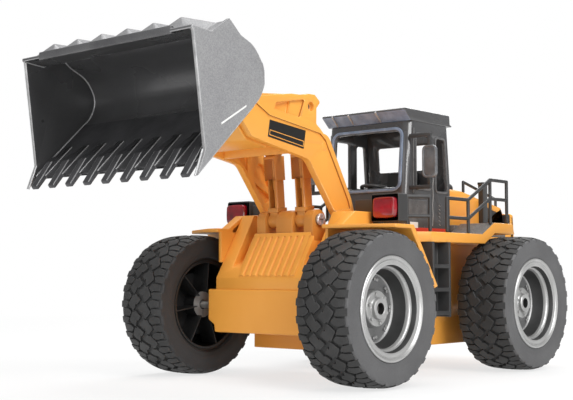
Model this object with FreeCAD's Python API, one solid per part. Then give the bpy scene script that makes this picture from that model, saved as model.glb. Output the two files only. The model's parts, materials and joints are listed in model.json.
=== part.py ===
import FreeCAD, Part
import math
import os
from FreeCAD import Vector

# Toy front loader with articulated steering, lifting arms and a tilting bucket.
# +X is forward, +Y is the loader's left, +Z is up, all in millimetres.
# The model is laid out from the ground point midway between the axles,
# and is moved at the end so that the origin is under the middle of its box.

# ---------- driving sizes ----------
wheel_base = 128.7
track = 112.5
tyre_diameter = 70.0
tyre_width = 28.0
rim_seat_radius = 23.2
axle_radius = 2.0
bush_outer = 3.2
bush_width = 4.0
belly_height = 13.5
belly_half_width = 29.0
wall = 2.0
plate = 1.8
running_fit = 0.06
body_gap = 0.35

front_axle_x = wheel_base / 2
rear_axle_x = -wheel_base / 2
axle_z = tyre_diameter / 2
fender_top = tyre_diameter + 2.8

# ---------- steering ----------
steer_x = front_axle_x - 51.35
kingpin_radius = 2.5
eye_radius = 6.5
eye_reach = 1.5
tongue_low = axle_z + 1.0
tongue_high = tongue_low + 16.0
lug_thickness = 4.0
rear_body_front = steer_x - eye_radius - eye_reach
front_body_rear = steer_x + eye_radius + eye_reach + 1.0

# ---------- front module ----------
bumper_front = front_axle_x + bush_outer + wall + 0.45
bumper_rear = bumper_front - 26.0
bumper_half_width = 38.0
bumper_chamfer = 4.0
bumper_low = axle_z - 13.2
bumper_top = axle_z + 7.8
hood_front = bumper_front - 0.5
hood_top_front = hood_front - 19.0
hood_rear = front_body_rear + 2.0
hood_half_width = 33.0
hood_lip_top = bumper_top + 5.6
hood_top = fender_top + 6.8
panel_top_x = hood_front - 12.0
panel_top_z = fender_top - 2.8
recess_floor = fender_top - 6.8
rib_count = 9
rib_height = 1.0
fender_half_width = track / 2 + 9.0
fender_inner = hood_half_width
fender_block_half_width = 38.5
lamp_rear = hood_rear + 4.0
lamp_front = lamp_rear + 10.5
lamp_low = fender_top + 1.8
lamp_high = lamp_low + 13.4
lamp_inner = 39.0
lamp_outer = 55.0
lens_depth = 2.2
lens_round = 1.6
lamp_frame = 0.8
lamp_depth = 7.0
lamp_carrier_inner = 27.5

# ---------- lift arms ----------
arm_pivot = (front_axle_x - 28.35, fender_top - 1.8)
arm_shaft_radius = 2.5
arm_inner = 20.0
arm_thickness = 4.5
arm_outer = arm_inner + arm_thickness
slot_inner = arm_inner - 0.5
slot_outer = arm_outer + 0.5
arm_foot_radius = 6.8
bucket_pivot = (arm_pivot[0] + 85.3, arm_pivot[1] + 63.1)
arm_tip_radius = 5.5
rocker_pivot = (arm_pivot[0] + 29.4, arm_pivot[1] + 57.2)
ear_radius = 6.0
pin_radius = 1.5
bucket_pin_radius = 2.5
cylinder_foot = (arm_pivot[0] + 15.5, arm_pivot[1] + 5.1)
cylinder_head = (arm_pivot[0] + 18.5, arm_pivot[1] + 39.5)
cylinder_offset = 8.7
cylinder_eye_width = 6.4
cylinder_swing = 1.45
crank_length = 10.0
crank_angle = -137.0
crank_pin = 1.3

# ---------- bucket ----------
bucket_half_width = 53.5
bucket_wall = 1.6
bucket_lip = (bucket_pivot[0] + 50.2, bucket_pivot[1] + 11.1)
bucket_tip = (bucket_pivot[0] + 46.7, bucket_pivot[1] - 46.6)
bucket_knee = (bucket_pivot[0] + 42.7, bucket_pivot[1] - 36.1)
tooth_count = 9
tooth_width = 4.2
gusset_count = 6
gusset_pitch = 16.0
lip_band_half = 41.5
lip_band_above = 1.2
lip_band_below = 0.6

# ---------- rear module ----------
deck_top = fender_top - 1.8
deck_band = 5.0
deck_half_width = 50.0
deck_front = steer_x + 1.0
deck_corner_x = steer_x - 10.0
deck_corner_y = deck_half_width - 8.5
rear_fender_front = rear_axle_x + 8.5
deck_rear = rear_fender_front + 11.5
rear_fender_rear = rear_axle_x - 11.0
rear_fender_top = deck_top + 6.3
chassis_rear = rear_axle_x - 39.7
plinth_height = 5.5
plinth_half_width = belly_half_width
engine_half_width = 24.0
engine_front = rear_axle_x + 13.3
engine_step = engine_front - 32.0
engine_rear = chassis_rear - 6.0
engine_top = deck_top + 26.0
grille_top = deck_top + 16.6
vent_half_width = 18.0
vent_length = 15.5
vent_height = 3.6
counterweight_rear = engine_rear - 5.0
counterweight_top = deck_top + 14.0
counterweight_low = deck_top - 41.0
cab_rear = engine_front + 2.0
cab_front = cab_rear + 40.9
cab_half_width = 27.0
cab_corner_radius = 5.0
cab_wall = 1.6
cab_top = deck_top + 58.6
roof_height = 6.1
roof_top = cab_top + roof_height
roof_overhang = 0.2
mirror_reach = 7.6
mirror_width = 8.2
mirror_height = 16.6
stalk_radius = 1.0
rail_radius = 0.9
rail_y = deck_half_width - 1.2
rail_top = deck_top + 17.3
rail_middle = deck_top + 7.6
high_rail_top = rear_fender_top + 22.7
high_rail_middle = rear_fender_top + 12.7
ladder_front = rear_body_front
ladder_length = 16.0
ladder_rear = ladder_front - ladder_length
ladder_outer = deck_half_width + 1.5
ladder_inner = ladder_outer - 7.0
ladder_low = deck_top - 42.0

pieces = {}


# ---------- helpers ----------
def box(x0, x1, y0, y1, z0, z1):
    return Part.makeBox(x1 - x0, y1 - y0, z1 - z0, Vector(x0, y0, z0))


def rod_y(x, z, radius, y0, y1):
    return Part.makeCylinder(radius, y1 - y0, Vector(x, y0, z), Vector(0, 1, 0))


def rod_z(x, y, radius, z0, z1):
    return Part.makeCylinder(radius, z1 - z0, Vector(x, y, z0))


def rounded_wire(corners):
    """Closed wire through corner points; a third number rounds that corner."""
    count = len(corners)
    starts = []
    ends = []
    middles = []
    for i in range(count):
        here = corners[i][0]
        radius = corners[i][1]
        before = corners[i - 1][0]
        after = corners[(i + 1) % count][0]
        if radius <= 0:
            starts.append(here)
            ends.append(here)
            middles.append(None)
            continue
        back = (before - here).normalize()
        ahead = (after - here).normalize()
        half = back.getAngle(ahead) / 2
        reach = radius / math.tan(half)
        centre = here + (back + ahead).normalize() * (radius / math.sin(half))
        starts.append(here + back * reach)
        ends.append(here + ahead * reach)
        middles.append(centre + (here - centre).normalize() * radius)
    edges = []
    for i in range(count):
        if middles[i] is not None:
            edges.append(Part.Arc(starts[i], middles[i], ends[i]).toShape())
        following = starts[(i + 1) % count]
        if ends[i].distanceToPoint(following) > 1e-6:
            edges.append(Part.LineSegment(ends[i], following).toShape())
    return Part.Wire(edges)


def corner(x, y, z, point):
    radius = point[2] if len(point) > 2 else 0
    return (Vector(x, y, z), radius)


def side_plate(points, y0, y1):
    """Plate with an XZ outline, from y0 to y1."""
    wire = rounded_wire([corner(p[0], y0, p[1], p) for p in points])
    return Part.Face(wire).extrude(Vector(0, y1 - y0, 0))


def flat_plate(points, z0, z1):
    """Plate with an XY outline, from z0 to z1."""
    wire = rounded_wire([corner(p[0], p[1], z0, p) for p in points])
    return Part.Face(wire).extrude(Vector(0, 0, z1 - z0))


def cross_plate(points, x0, x1):
    """Plate with a YZ outline, from x0 to x1."""
    wire = rounded_wire([corner(x0, p[0], p[1], p) for p in points])
    return Part.Face(wire).extrude(Vector(x1 - x0, 0, 0))


def mirrored(shape):
    return shape.mirror(Vector(0, 0, 0), Vector(0, 1, 0))


def both_sides(shape):
    return [shape, mirrored(shape)]


def joined(shapes):
    first = shapes[0]
    if len(shapes) == 1:
        return first
    return first.fuse(shapes[1:]).removeSplitter()


def cut(shape, tools):
    return shape.cut(tools)


def bar(start, end, radius):
    """Round bar with ball ends between two points."""
    a = Vector(*start)
    b = Vector(*end)
    run = Part.makeCylinder(radius, a.distanceToPoint(b), a, b - a)
    return joined([run, Part.makeSphere(radius, a), Part.makeSphere(radius, b)])


def ring_y(profile, x, z, y):
    """Solid of revolution about a Y axis; profile points are (radius, offset along Y)."""
    points = [Vector(x + p[0], y + p[1], z) for p in profile]
    face = Part.Face(Part.makePolygon(points + [points[0]]))
    return face.revolve(Vector(x, y, z), Vector(0, 1, 0), 360)


def polar(centre, length, degrees):
    angle = math.radians(degrees)
    return (centre[0] + length * math.cos(angle), centre[1] + length * math.sin(angle))


def rows(count, pitch):
    return [(i - (count - 1) / 2) * pitch for i in range(count)]


# ---------- wheels ----------
def tyre_shape(x, y):
    outer = tyre_diameter / 2
    shoulder = outer - 2.4
    half = tyre_width / 2
    bead = half - 2.0
    tread = half - 4.5
    thick = 2.6
    profile = [
        (rim_seat_radius, -bead),
        (rim_seat_radius + 4.5, -half),
        (shoulder - 1.5, -half + 0.5),
        (shoulder, -half + 0.9),
        (outer, -tread),
        (outer, tread),
        (shoulder, half - 0.9),
        (shoulder - 1.5, half - 0.5),
        (rim_seat_radius + 4.5, half),
        (rim_seat_radius, bead),
        (rim_seat_radius, bead - thick),
        (rim_seat_radius + 4.5, half - thick),
        (shoulder - thick, half - thick - 0.6),
        (outer - thick - 1.4, tread),
        (outer - thick - 1.4, -tread),
        (shoulder - thick, -half + thick + 0.6),
        (rim_seat_radius + 4.5, -half + thick),
        (rim_seat_radius, -bead + thick),
    ]
    return ring_y(profile, x, axle_z, y)


def rim_shape(x, y, side):
    """Wheel rim; side is +1 when the outer face looks to +Y."""
    half = tyre_width / 2
    flange = half - 0.6
    barrel = rim_seat_radius - 1.6
    disc = 1.5
    hub = 6.5
    profile = [
        (axle_radius, -9.0),
        (hub, -9.0),
        (hub, disc - 2.0),
        (barrel - 4.5, disc - 2.0),
        (barrel, -1.5),
        (barrel, -half + 2.4),
        (rim_seat_radius, -half + 2.4),
        (rim_seat_radius, flange),
        (barrel - 0.4, flange),
        (barrel - 1.4, flange - 3.0),
        (barrel - 1.8, disc + 3.5),
        (barrel - 4.6, disc + 3.0),
        (barrel - 6.4, disc),
        (hub, disc),
        (hub - 0.8, disc + 5.5),
        (3.2, disc + 6.3),
        (3.2, disc + 3.0),
        (axle_radius, disc + 3.0),
    ]
    turned = [(p[0], p[1] * side) for p in profile]
    rim = ring_y(turned, x, axle_z, y)
    ribs = []
    low = min(-8.0 * side, (disc - 1.0) * side)
    high = max(-8.0 * side, (disc - 1.0) * side)
    for i in range(6):
        rib = box(x + hub - 1.0, x + barrel + 0.8, y + low, y + high, axle_z - 0.6, axle_z + 0.6)
        rib.rotate(Vector(x, y, axle_z), Vector(0, 1, 0), 60 * i + 30)
        ribs.append(rib)
    return joined([rim] + ribs)


def wheels(end, x):
    for side_name, side in (("left", 1), ("right", -1)):
        y = side * track / 2
        pieces[end + "_tyre_" + side_name] = tyre_shape(x, y)
        pieces[end + "_rim_" + side_name] = rim_shape(x, y, side)
    reach = track / 2 + 4.5
    pieces[end + "_axle_shaft"] = rod_y(x, axle_z, axle_radius, -reach, reach)


bush_y = belly_half_width - bush_width


def bushes(x):
    hole = rod_y(x, axle_z, axle_radius + running_fit, -track, track)
    ring = rod_y(x, axle_z, bush_outer, bush_y, bush_y + bush_width)
    flange = rod_y(x, axle_z, bush_outer + 0.4, belly_half_width, belly_half_width + 1.0)
    bush = joined([ring, flange])
    return Part.makeCompound([cut(s, [hole]) for s in both_sides(bush)])


# ---------- drive gears ----------
gear_module = 0.8
gear_teeth = 24
pinion_teeth = 10
gear_width = 4.0
gear_backlash = 0.35
gear_centres = gear_module * (gear_teeth + pinion_teeth) / 2 + 0.15
pinion_x = rear_axle_x + gear_centres


def spur_gear(x, z, teeth, y0, y1, first_angle):
    """Spur gear about a Y axis with straight-sided teeth; one tooth points at first_angle."""
    pitch = gear_module * teeth / 2
    root = pitch - 1.15 * gear_module
    tip = pitch + 0.9 * gear_module
    half_pitch_tooth = (math.pi * gear_module / 2 - gear_backlash) / 2
    slope = math.tan(math.radians(22))
    gear = rod_y(x, z, root, y0, y1)
    tooth_points = [
        (root - 0.4, half_pitch_tooth + (pitch - root) * slope * 0.7),
        (pitch, half_pitch_tooth),
        (tip, half_pitch_tooth - (tip - pitch) * slope * 1.3),
    ]
    outline = [(x + p[0], z + p[1]) for p in tooth_points]
    outline += [(x + p[0], z - p[1]) for p in reversed(tooth_points)]
    teeth_list = []
    for i in range(teeth):
        tooth = side_plate(outline, y0, y1)
        tooth.rotate(Vector(x, 0, z), Vector(0, -1, 0), first_angle + 360.0 * i / teeth)
        teeth_list.append(tooth)
    return joined([gear] + teeth_list)


def drive_parts():
    gear = spur_gear(rear_axle_x, axle_z, gear_teeth, 0, gear_width, 0)
    pieces["axle_gear"] = cut(gear, [rod_y(rear_axle_x, axle_z, axle_radius, -1, gear_width + 1)])
    half_step = 180.0 / pinion_teeth
    pinion = spur_gear(pinion_x, axle_z, pinion_teeth, 0, gear_width, 180 + half_step)
    stub = rod_y(pinion_x, axle_z, 1.0, -3.0, gear_width)
    pieces["drive_pinion"] = joined([pinion, stub])
    can = rod_y(pinion_x, axle_z, 8.0, motor_outer, motor_inner)
    nose = rod_y(pinion_x, axle_z, 3.0, motor_inner - 0.5, motor_inner + 1.6)
    socket = rod_y(pinion_x, axle_z, 1.0 + running_fit, -3.3, motor_inner + 3)
    pieces["drive_motor"] = cut(joined([can, nose]), [socket])


motor_inner = -2.4
motor_outer = -24.0


# ---------- front module ----------
def front_chassis():
    rear = front_body_rear
    shell = box(rear, bumper_rear + 2, -belly_half_width, belly_half_width, belly_height, bumper_top)
    hollow = box(rear + wall, bumper_rear, -belly_half_width + wall, belly_half_width - wall,
                 belly_height + wall, bumper_top + 1)
    tub = cut(shell, [hollow])
    floor = box(bumper_rear, bumper_front - wall, -belly_half_width, belly_half_width,
                bumper_low + wall, bumper_low + 2 * wall)
    carriers = []
    for y0 in (-belly_half_width, bush_y):
        carriers.append(box(bumper_rear, bumper_front - wall, y0, y0 + bush_width, bumper_low + wall,
                            bumper_top - wall))
    tongue = box(steer_x, rear + wall, -eye_radius, eye_radius, tongue_low, tongue_high)
    eye = rod_z(steer_x, 0, eye_radius, tongue_low, tongue_high)
    webs = box(rear + wall, rear + 10, -eye_radius, eye_radius, belly_height + wall, tongue_low + 2)
    cradle = box(cradle_x - 6, cradle_x + 6, -10, 10, belly_height + wall, lift_motor_z)
    body = joined([tub, floor, tongue, eye, webs, cradle] + carriers)
    holes = [
        rod_z(steer_x, 0, kingpin_radius, tongue_low - 1, tongue_high + 1),
        rod_y(front_axle_x, axle_z, bush_outer, -track / 2, track / 2),
        rod_y(cradle_x, lift_motor_z, lift_motor_radius, -11, 11),
    ]
    pieces["front_chassis"] = cut(body, holes)


cradle_x = arm_pivot[0] - 1.0
lift_motor_z = axle_z - 5.0
lift_motor_radius = 7.5


def bumper_outline(inset):
    half = bumper_half_width - inset
    foot = half - bumper_chamfer
    bend = bumper_low + 3.6
    return [
        (-half, bumper_top - inset, 0),
        (half, bumper_top - inset, 0),
        (half, bend + 2.4, 0),
        (foot, bend, 0),
        (foot - 0.4, bumper_low + inset, 0),
        (-foot + 0.4, bumper_low + inset, 0),
        (-foot, bend, 0),
        (-half, bend + 2.4, 0),
    ]


def bumper():
    outer = cross_plate(bumper_outline(0), bumper_rear, bumper_front)
    outer = outer.makeFillet(0.8, [e for e in outer.Edges if e.BoundBox.XMin > bumper_front - 0.01])
    inner = cross_plate(bumper_outline(wall), bumper_rear - 1, bumper_front - wall)
    top_window = box(bumper_rear - 1, bumper_front - 2 * wall, -hood_half_width + wall, hood_half_width - wall,
                     bumper_top - 2 * wall, bumper_top + 1)
    axle_hole = rod_y(front_axle_x, axle_z, axle_radius + 0.8, -track / 2, track / 2)
    tub_room = box(bumper_rear - 1, bumper_rear + 2, -belly_half_width, belly_half_width, bumper_low - 1,
                   bumper_top + 1)
    pieces["bumper_shell"] = cut(outer, [inner, top_window, axle_hole, tub_room])


def hood_outline(inset, low):
    """Side outline of the front hood, moved inwards by inset."""
    return [
        (hood_front - inset, low),
        (hood_front - inset, hood_lip_top - 0.3 * inset),
        (hood_top_front - 0.5 * inset, hood_top - inset),
        (hood_rear + 6 + inset, hood_top - inset),
        (hood_rear + inset, hood_top - 7 - 0.5 * inset),
        (hood_rear + inset, low),
    ]


slot_floor = arm_pivot[1] - arm_foot_radius - 1.0


def front_hood():
    low = bumper_top
    shell = side_plate(hood_outline(0, low), -hood_half_width, hood_half_width)
    recess = side_plate([
        (panel_top_x, panel_top_z),
        (panel_top_x - 0.6, recess_floor),
        (hood_rear - 1, recess_floor),
        (hood_rear - 1, hood_top + 1),
        (hood_top_front + 3, hood_top + 1),
        (panel_top_x + 4, panel_top_z),
    ], -slot_inner, slot_inner)
    slot = side_plate([
        (hood_front + 5.5, slot_floor - 13.6),
        (arm_pivot[0] + 8, slot_floor),
        (hood_rear - 1, slot_floor),
        (hood_rear - 1, hood_top + 1),
        (hood_front + 5.5, hood_top + 1),
    ], slot_inner, slot_outer)
    cheek_room = side_plate(hood_outline(wall, low - 1), slot_outer + plate, hood_half_width - wall)
    under = [
        (hood_front - wall, low - 1),
        (hood_front - wall, hood_lip_top - 1.5),
        (hood_front - wall - 2, hood_lip_top + 0.6),
        (arm_pivot[0] + 8, slot_floor - wall),
        (hood_rear + wall, slot_floor - wall),
        (hood_rear + wall, low - 1),
    ]
    slot_room = side_plate(under, slot_inner - plate, slot_outer + plate)
    middle = [
        (hood_front - wall, low - 1),
        (hood_front - wall, hood_lip_top - 0.5),
        (panel_top_x - 2.5, recess_floor - wall),
        (hood_rear + wall, recess_floor - wall),
        (hood_rear + wall, low - 1),
    ]
    middle_room = side_plate(middle, -slot_inner + plate, slot_inner - plate)
    hood = cut(shell, [recess, middle_room] + both_sides(slot) + both_sides(cheek_room) + both_sides(slot_room))
    bosses = both_sides(rod_y(arm_pivot[0], arm_pivot[1], arm_shaft_radius + 2.2, 13, slot_inner))
    pillars = both_sides(box(arm_pivot[0] - 4.7, arm_pivot[0] + 4.7, 13, slot_inner, recess_floor - 0.5,
                             arm_pivot[1]))
    slope = math.atan2(hood_top - hood_lip_top, hood_front - hood_top_front)
    run = (panel_top_z - hood_lip_top) / math.sin(slope)
    rib_pitch = 2 * (slot_inner - 1.5) / rib_count
    rib_half = rib_pitch * 0.34
    rails = []
    for y in rows(rib_count, rib_pitch):
        rails.append(box(-rib_height, rib_height, y - rib_half, y + rib_half, 0, run))
    panel_end = rib_count * rib_pitch / 2
    rails.append(box(-rib_height, rib_height, -panel_end, panel_end, run - 3.4, run))
    ribs = []
    for rib in rails:
        rib.rotate(Vector(0, 0, 0), Vector(0, 1, 0), -90 + math.degrees(slope))
        rib.translate(Vector(hood_front - 0.9 * math.cos(slope), 0, hood_lip_top + 0.9 * math.sin(slope)))
        ribs.append(cut(rib, [recess]))
    hood = joined([hood] + bosses + pillars + ribs)
    shaft_end = hood_half_width - 1.5
    shaft_room = rod_y(arm_pivot[0], arm_pivot[1], arm_shaft_radius, -shaft_end, shaft_end)
    pieces["front_hood"] = cut(hood, [shaft_room])


lamp_foot = lamp_inner + 3.0


def front_fender(side):
    y0 = fender_inner
    low = fender_top - plate
    front = front_axle_x + 4.15
    bend = front_axle_x - 22.35
    tail_end = front_axle_x - tyre_diameter / 2 - 6.35
    block_front = front_axle_x - 3.85
    top = flat_plate([
        (front, y0),
        (front, y0 + 7),
        (front - 13.5, fender_half_width, 1.5),
        (bend, fender_half_width),
        (bend, lamp_foot),
        (lamp_rear + 1, lamp_foot),
        (lamp_rear + 1, y0),
    ], low, fender_top)
    tail = side_plate([
        (bend + 1.5, fender_top),
        (bend - 0.8, fender_top),
        (tail_end - 1.1, fender_top - 28.2),
        (tail_end + 1.4, fender_top - 29.2),
        (bend + 1.5, low),
    ], lamp_foot, fender_half_width)
    block = side_plate([
        (block_front, low + 0.5),
        (block_front, fender_top),
        (block_front - 10.5, hood_top),
        (lamp_rear + 1, hood_top),
        (lamp_rear + 1, low + 0.5),
    ], y0, fender_block_half_width)
    room = side_plate([
        (block_front - 3, low - 1),
        (block_front - 3, fender_top - 0.6),
        (block_front - 11.5, hood_top - plate),
        (lamp_rear + 1 + plate, hood_top - plate),
        (lamp_rear + 1 + plate, low - 1),
    ], y0 - 1, fender_block_half_width - plate)
    inner_wall = box(hood_rear + 8, front_axle_x + 1.6, y0, y0 + plate, fender_top - 16.8, low)
    fender = cut(joined([top, tail, block]), [room])
    fender = joined([fender, inner_wall])
    name = "front_fender_left" if side > 0 else "front_fender_right"
    pieces[name] = fender if side > 0 else mirrored(fender)


def lamps():
    back = lamp_front - lamp_depth
    housing = box(back, lamp_front, lamp_inner, lamp_outer, lamp_low, lamp_high)
    housing = housing.makeFillet(1.2, [e for e in housing.Edges if e.BoundBox.XLength > 5])
    y0 = lamp_inner + lamp_frame
    y1 = lamp_outer - lamp_frame
    z0 = lamp_low + lamp_frame
    z1 = lamp_high - lamp_frame
    pocket = box(lamp_front - 1.5, lamp_front + 1, y0, y1, z0, z1)
    lens_front = lamp_front + lens_depth
    foot = box(back + 1.0, lamp_front - 1.5, lamp_inner, lamp_foot, fender_top, lamp_low + 1.5)
    carrier = box(back + 0.6, lamp_front - 2.5, lamp_carrier_inner, lamp_inner + 1, hood_top, lamp_high - 2.2)
    pieces["lamp_bar"] = Part.makeCompound(both_sides(cut(joined([housing, foot, carrier]), [pocket])))
    lens = box(lamp_front - 1.5, lens_front, y0, y1, z0, z1)
    lens = lens.makeFillet(lens_round, [e for e in lens.Edges if e.BoundBox.XMin > lens_front - 0.1])
    pieces["lamp_lenses"] = Part.makeCompound(both_sides(lens))


boss_radius = 5.0
bracket_half_width = 17.8
eye_room = cylinder_eye_width / 2 + body_gap


def cylinder_bracket():
    x, z = cylinder_foot
    tube = rod_y(x, z, boss_radius, -bracket_half_width, bracket_half_width)
    block = box(x - boss_radius, x + boss_radius, -bracket_half_width, bracket_half_width, recess_floor, z)
    rooms = []
    for y in (-cylinder_offset, cylinder_offset):
        rooms.append(box(x - 8, x + 8, y - eye_room, y + eye_room, recess_floor + wall, z + 8))
    hole = rod_y(x, z, pin_radius, -20, 20)
    pieces["cylinder_bracket"] = cut(joined([tube, block]), rooms + [hole])
    pin = rod_y(x, z, pin_radius, -bracket_half_width, bracket_half_width)
    heads = both_sides(rod_y(x, z, 2.8, bracket_half_width, bracket_half_width + 1.4))
    pieces["cylinder_pin"] = joined([pin] + heads)


# ---------- lift arms ----------
pin_recess = 2.4
pin_mouth = 2.1
face_recess = 0.8
deep_pocket = 2.8
shallow_pocket = 1.6
rib_pocket = 2.2
shoulder = (arm_pivot[0] + 16.4, arm_pivot[1] + 45.0)
elbow = (bucket_pivot[0] - 16.3, bucket_pivot[1] - 23.6)


def arm_plate():
    px, pz = arm_pivot
    bx, bz = bucket_pivot
    beam = side_plate([
        (px - 6.6, pz + 1.5),
        (px - 1.0, pz + 15.9),
        (shoulder[0], shoulder[1], 6),
        (bx - 26.7, bz - 13.6, 4),
        (bx - 18.3, bz - 8.1),
        (bx - 4.4, bz + 4.4),
        (bx + 4.0, bz - 4.6),
        (elbow[0] + 5.3, elbow[1] + 5.7),
        (elbow[0], elbow[1], 4),
        (px + 30.0, pz + 32.5, 6),
        (px + 9.3, pz + 6.8),
        (px + 5.6, pz - 4.0),
    ], arm_inner, arm_outer)
    foot = rod_y(px, pz, arm_foot_radius, arm_inner, arm_outer)
    tip = rod_y(bx, bz, arm_tip_radius, arm_inner, arm_outer)
    ex, ez = rocker_pivot
    fairing = side_plate([
        (ex - 10.4, ez - 12.7),
        (ex - 6.8, ez - 9.6),
        (ex - 4.0, ez - 7.8, 1.5),
        (ex - 4.1, ez - 0.4, 1),
        (ex - 7.0, ez + 2.8, 1.2),
        (ex - 2.8, ez + ear_radius, 1.2),
        (ex + 2.0, ez + 5.8),
        (ex + 8.1, ez + 4.7),
        (ex + 14.0, ez + 4.5),
        (ex + 25.5, ez + 2.7),
        (ex + 35.1, ez + 1.1),
        (ex + 40.2, ez + 0.4),
        (ex + 38.1, ez - 3.2),
        (ex + 28.6, ez - 10.2),
        (ex - 5.4, ez - 14.2),
    ], arm_inner, arm_outer)
    sunk_face = side_plate([
        (ex + 37.2, ez - 2.9),
        (ex + 28.9, ez - 7.0),
        (ex - 6.8, ez - 11.9),
        (ex - 10.8, ez - 14.6),
        (ex - 28.1, ez - 42.2),
        (ex - 29.8, ez - 46.4),
        (ex - 16.0, ez - 48.2),
        (elbow[0] + 1.0, elbow[1] - 2.5),
        (elbow[0] + 6.9, elbow[1] + 4.0),
        (elbow[0] + 11.5, elbow[1] + 15.0),
        (ex + 45.1, ez + 3.3),
    ], arm_outer - face_recess, arm_outer + 1)
    pockets = [
        side_plate([
            (ex + 25.8, ez - 3.7),
            (ex + 24.4, ez - 0.9),
            (ex + 13.6, ez + 1.2),
            (ex + 15.4, ez - 5.1),
        ], arm_outer - deep_pocket, arm_outer + 1),
        side_plate([
            (ex + 13.7, ez + 1.2),
            (ex + 4.4, ez + 2.8, 0.8),
            (ex + 8.1, ez - 5.8, 0.8),
            (ex + 15.5, ez - 5.1),
        ], arm_outer - shallow_pocket, arm_outer + 1),
        side_plate([
            (px + 38.0, pz + 38.5),
            (px + 24.0, pz + 42.8),
            (px + 24.2, pz + 29.2),
            (px + 31.5, pz + 36.5),
        ], arm_inner - 1, arm_inner + rib_pocket),
        side_plate([
            (px + 16.5, pz + 34.5),
            (px + 19.8, pz + 28.3),
            (px + 7.0, pz + 21.6),
            (px + 9.5, pz + 27.5),
            (px + 12.8, pz + 33.5),
        ], arm_inner - 1, arm_inner + rib_pocket),
        side_plate([
            (px + 19.3, pz + 24.4),
            (px + 11.5, pz + 14.5),
            (px + 6.3, pz + 17.3),
            (px + 6.8, pz + 18.0),
        ], arm_inner - 1, arm_inner + rib_pocket),
    ]
    mouth = rod_y(ex, ez, pin_mouth, arm_outer - pin_recess, arm_outer + 1)
    return cut(joined([beam, foot, tip, fairing]), [sunk_face, mouth] + pockets)


def lift_arms():
    plate_shape = arm_plate()
    holes = [
        rod_y(arm_pivot[0], arm_pivot[1], arm_shaft_radius + running_fit, 0, 40),
        rod_y(bucket_pivot[0], bucket_pivot[1], bucket_pin_radius + running_fit, 0, 40),
        rod_y(rocker_pivot[0], rocker_pivot[1], pin_radius, 0, 40),
        rod_y(cylinder_head[0], cylinder_head[1], pin_radius, 0, 40),
    ]
    left = cut(plate_shape, holes)
    pieces["lift_arm_left"] = left
    pieces["lift_arm_right"] = mirrored(left)
    px, pz = arm_pivot
    bx, bz = bucket_pivot
    ex, ez = rocker_pivot
    top = side_plate([
        (ex + 4.2, ez + 3.4),
        (ex + 4.2, ez + 5.8, 0.8),
        (bx - 22.0, ez + 2.8),
        (bx - 22.0, ez + 0.6),
    ], -arm_inner, arm_inner)
    link_slot = box(bx - 36, bx - 21, -fork_outer, fork_outer, ez - 2, ez + 9)
    kx, kz = elbow
    flap = side_plate([
        (kx - 13.0, kz - 1.3),
        (kx - 0.8, kz + 0.9),
        (kx + 5.0, kz + 6.7),
        (kx + 6.6, kz + 5.3),
        (kx + 0.2, kz - 1.3),
        (kx - 13.0, kz - 3.5),
    ], -arm_inner, arm_inner)
    brace = box(px + 40, px + 42, -arm_inner, arm_inner, pz + 34.6, pz + 43)
    pieces["arm_bridge"] = Part.makeCompound([cut(top, [link_slot]), flap, brace])
    pins = []
    for centre in (rocker_pivot, cylinder_head):
        pins.append(rod_y(centre[0], centre[1], pin_radius, -arm_outer + pin_recess, arm_outer - pin_recess))
    pieces["arm_pins"] = Part.makeCompound(pins)
    pieces["arm_shaft"] = rod_y(arm_pivot[0], arm_pivot[1], arm_shaft_radius, -hood_half_width + 1.5,
                                hood_half_width - 1.5)


# ---------- lift cylinders ----------
rod_radius = 1.1
barrel_half_y = 3.0
barrel_half_depth = cylinder_swing + rod_radius + 1.2
barrel_open_side = cylinder_swing + rod_radius + 0.2
cylinder_run = math.hypot(cylinder_head[0] - cylinder_foot[0], cylinder_head[1] - cylinder_foot[1])
cylinder_lean = math.degrees(math.asin((cylinder_head[0] - cylinder_foot[0]) / cylinder_run))
barrel_top = 20.5
barrel_round = 1.2
sleeve_half_depth = 3.6
sleeve_length = 14.5


def on_cylinder_axis(shape, y):
    """Takes a shape built upwards from the foot pin at the origin to its place."""
    shape.rotate(Vector(0, 0, 0), Vector(0, 1, 0), cylinder_lean)
    shape.translate(Vector(cylinder_foot[0], y, cylinder_foot[1]))
    return shape


def lift_cylinders():
    half = cylinder_eye_width / 2
    bore_y = rod_radius + 0.5
    bore_depth = cylinder_swing + rod_radius + 0.35
    for name, y in (("left", cylinder_offset), ("right", -cylinder_offset)):
        eye = rod_y(0, 0, 3.4, -half, half)
        neck = box(-2.4, 2.4, -2.4, 2.4, 0, 5.2)
        collar = box(-barrel_half_depth - 0.5, barrel_open_side + 0.2, -half, half, 4.4, 6.6)
        tube = box(-barrel_half_depth, barrel_open_side, -barrel_half_y, barrel_half_y, 4.4, barrel_top)
        tube = tube.makeFillet(barrel_round, [e for e in tube.Edges if e.BoundBox.ZLength > 10])
        bore = box(-bore_depth, barrel_half_depth + 2, -bore_y, bore_y, 6.6, barrel_top + 1)
        barrel = cut(joined([eye, neck, collar, tube]), [bore, rod_y(0, 0, pin_radius + running_fit, -9, 9)])
        pieces["lift_barrel_" + name] = on_cylinder_axis(barrel, y)
        run = cylinder_run
        cheek = barrel_half_y + body_gap
        outer = cheek + 0.9
        head = rod_y(0, run, 3.4, -half, half)
        cap = box(-sleeve_half_depth, sleeve_half_depth, -outer, outer, run - sleeve_length, run - 2.6)
        cap = cap.makeFillet(barrel_round, [e for e in cap.Edges if e.BoundBox.ZLength > sleeve_length - 3])
        deep = sleeve_half_depth + 1
        room = box(-deep, deep, -cheek, cheek, run - sleeve_length - 1, run - 4.0)
        shaft = Part.makeCylinder(rod_radius, 15.5, Vector(0, 0, run - 19))
        lift = joined([cut(joined([head, cap]), [room]), shaft])
        lift = cut(lift, [rod_y(0, run, pin_radius + running_fit, -9, 9)])
        pieces["lift_rod_" + name] = on_cylinder_axis(lift, y)


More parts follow.
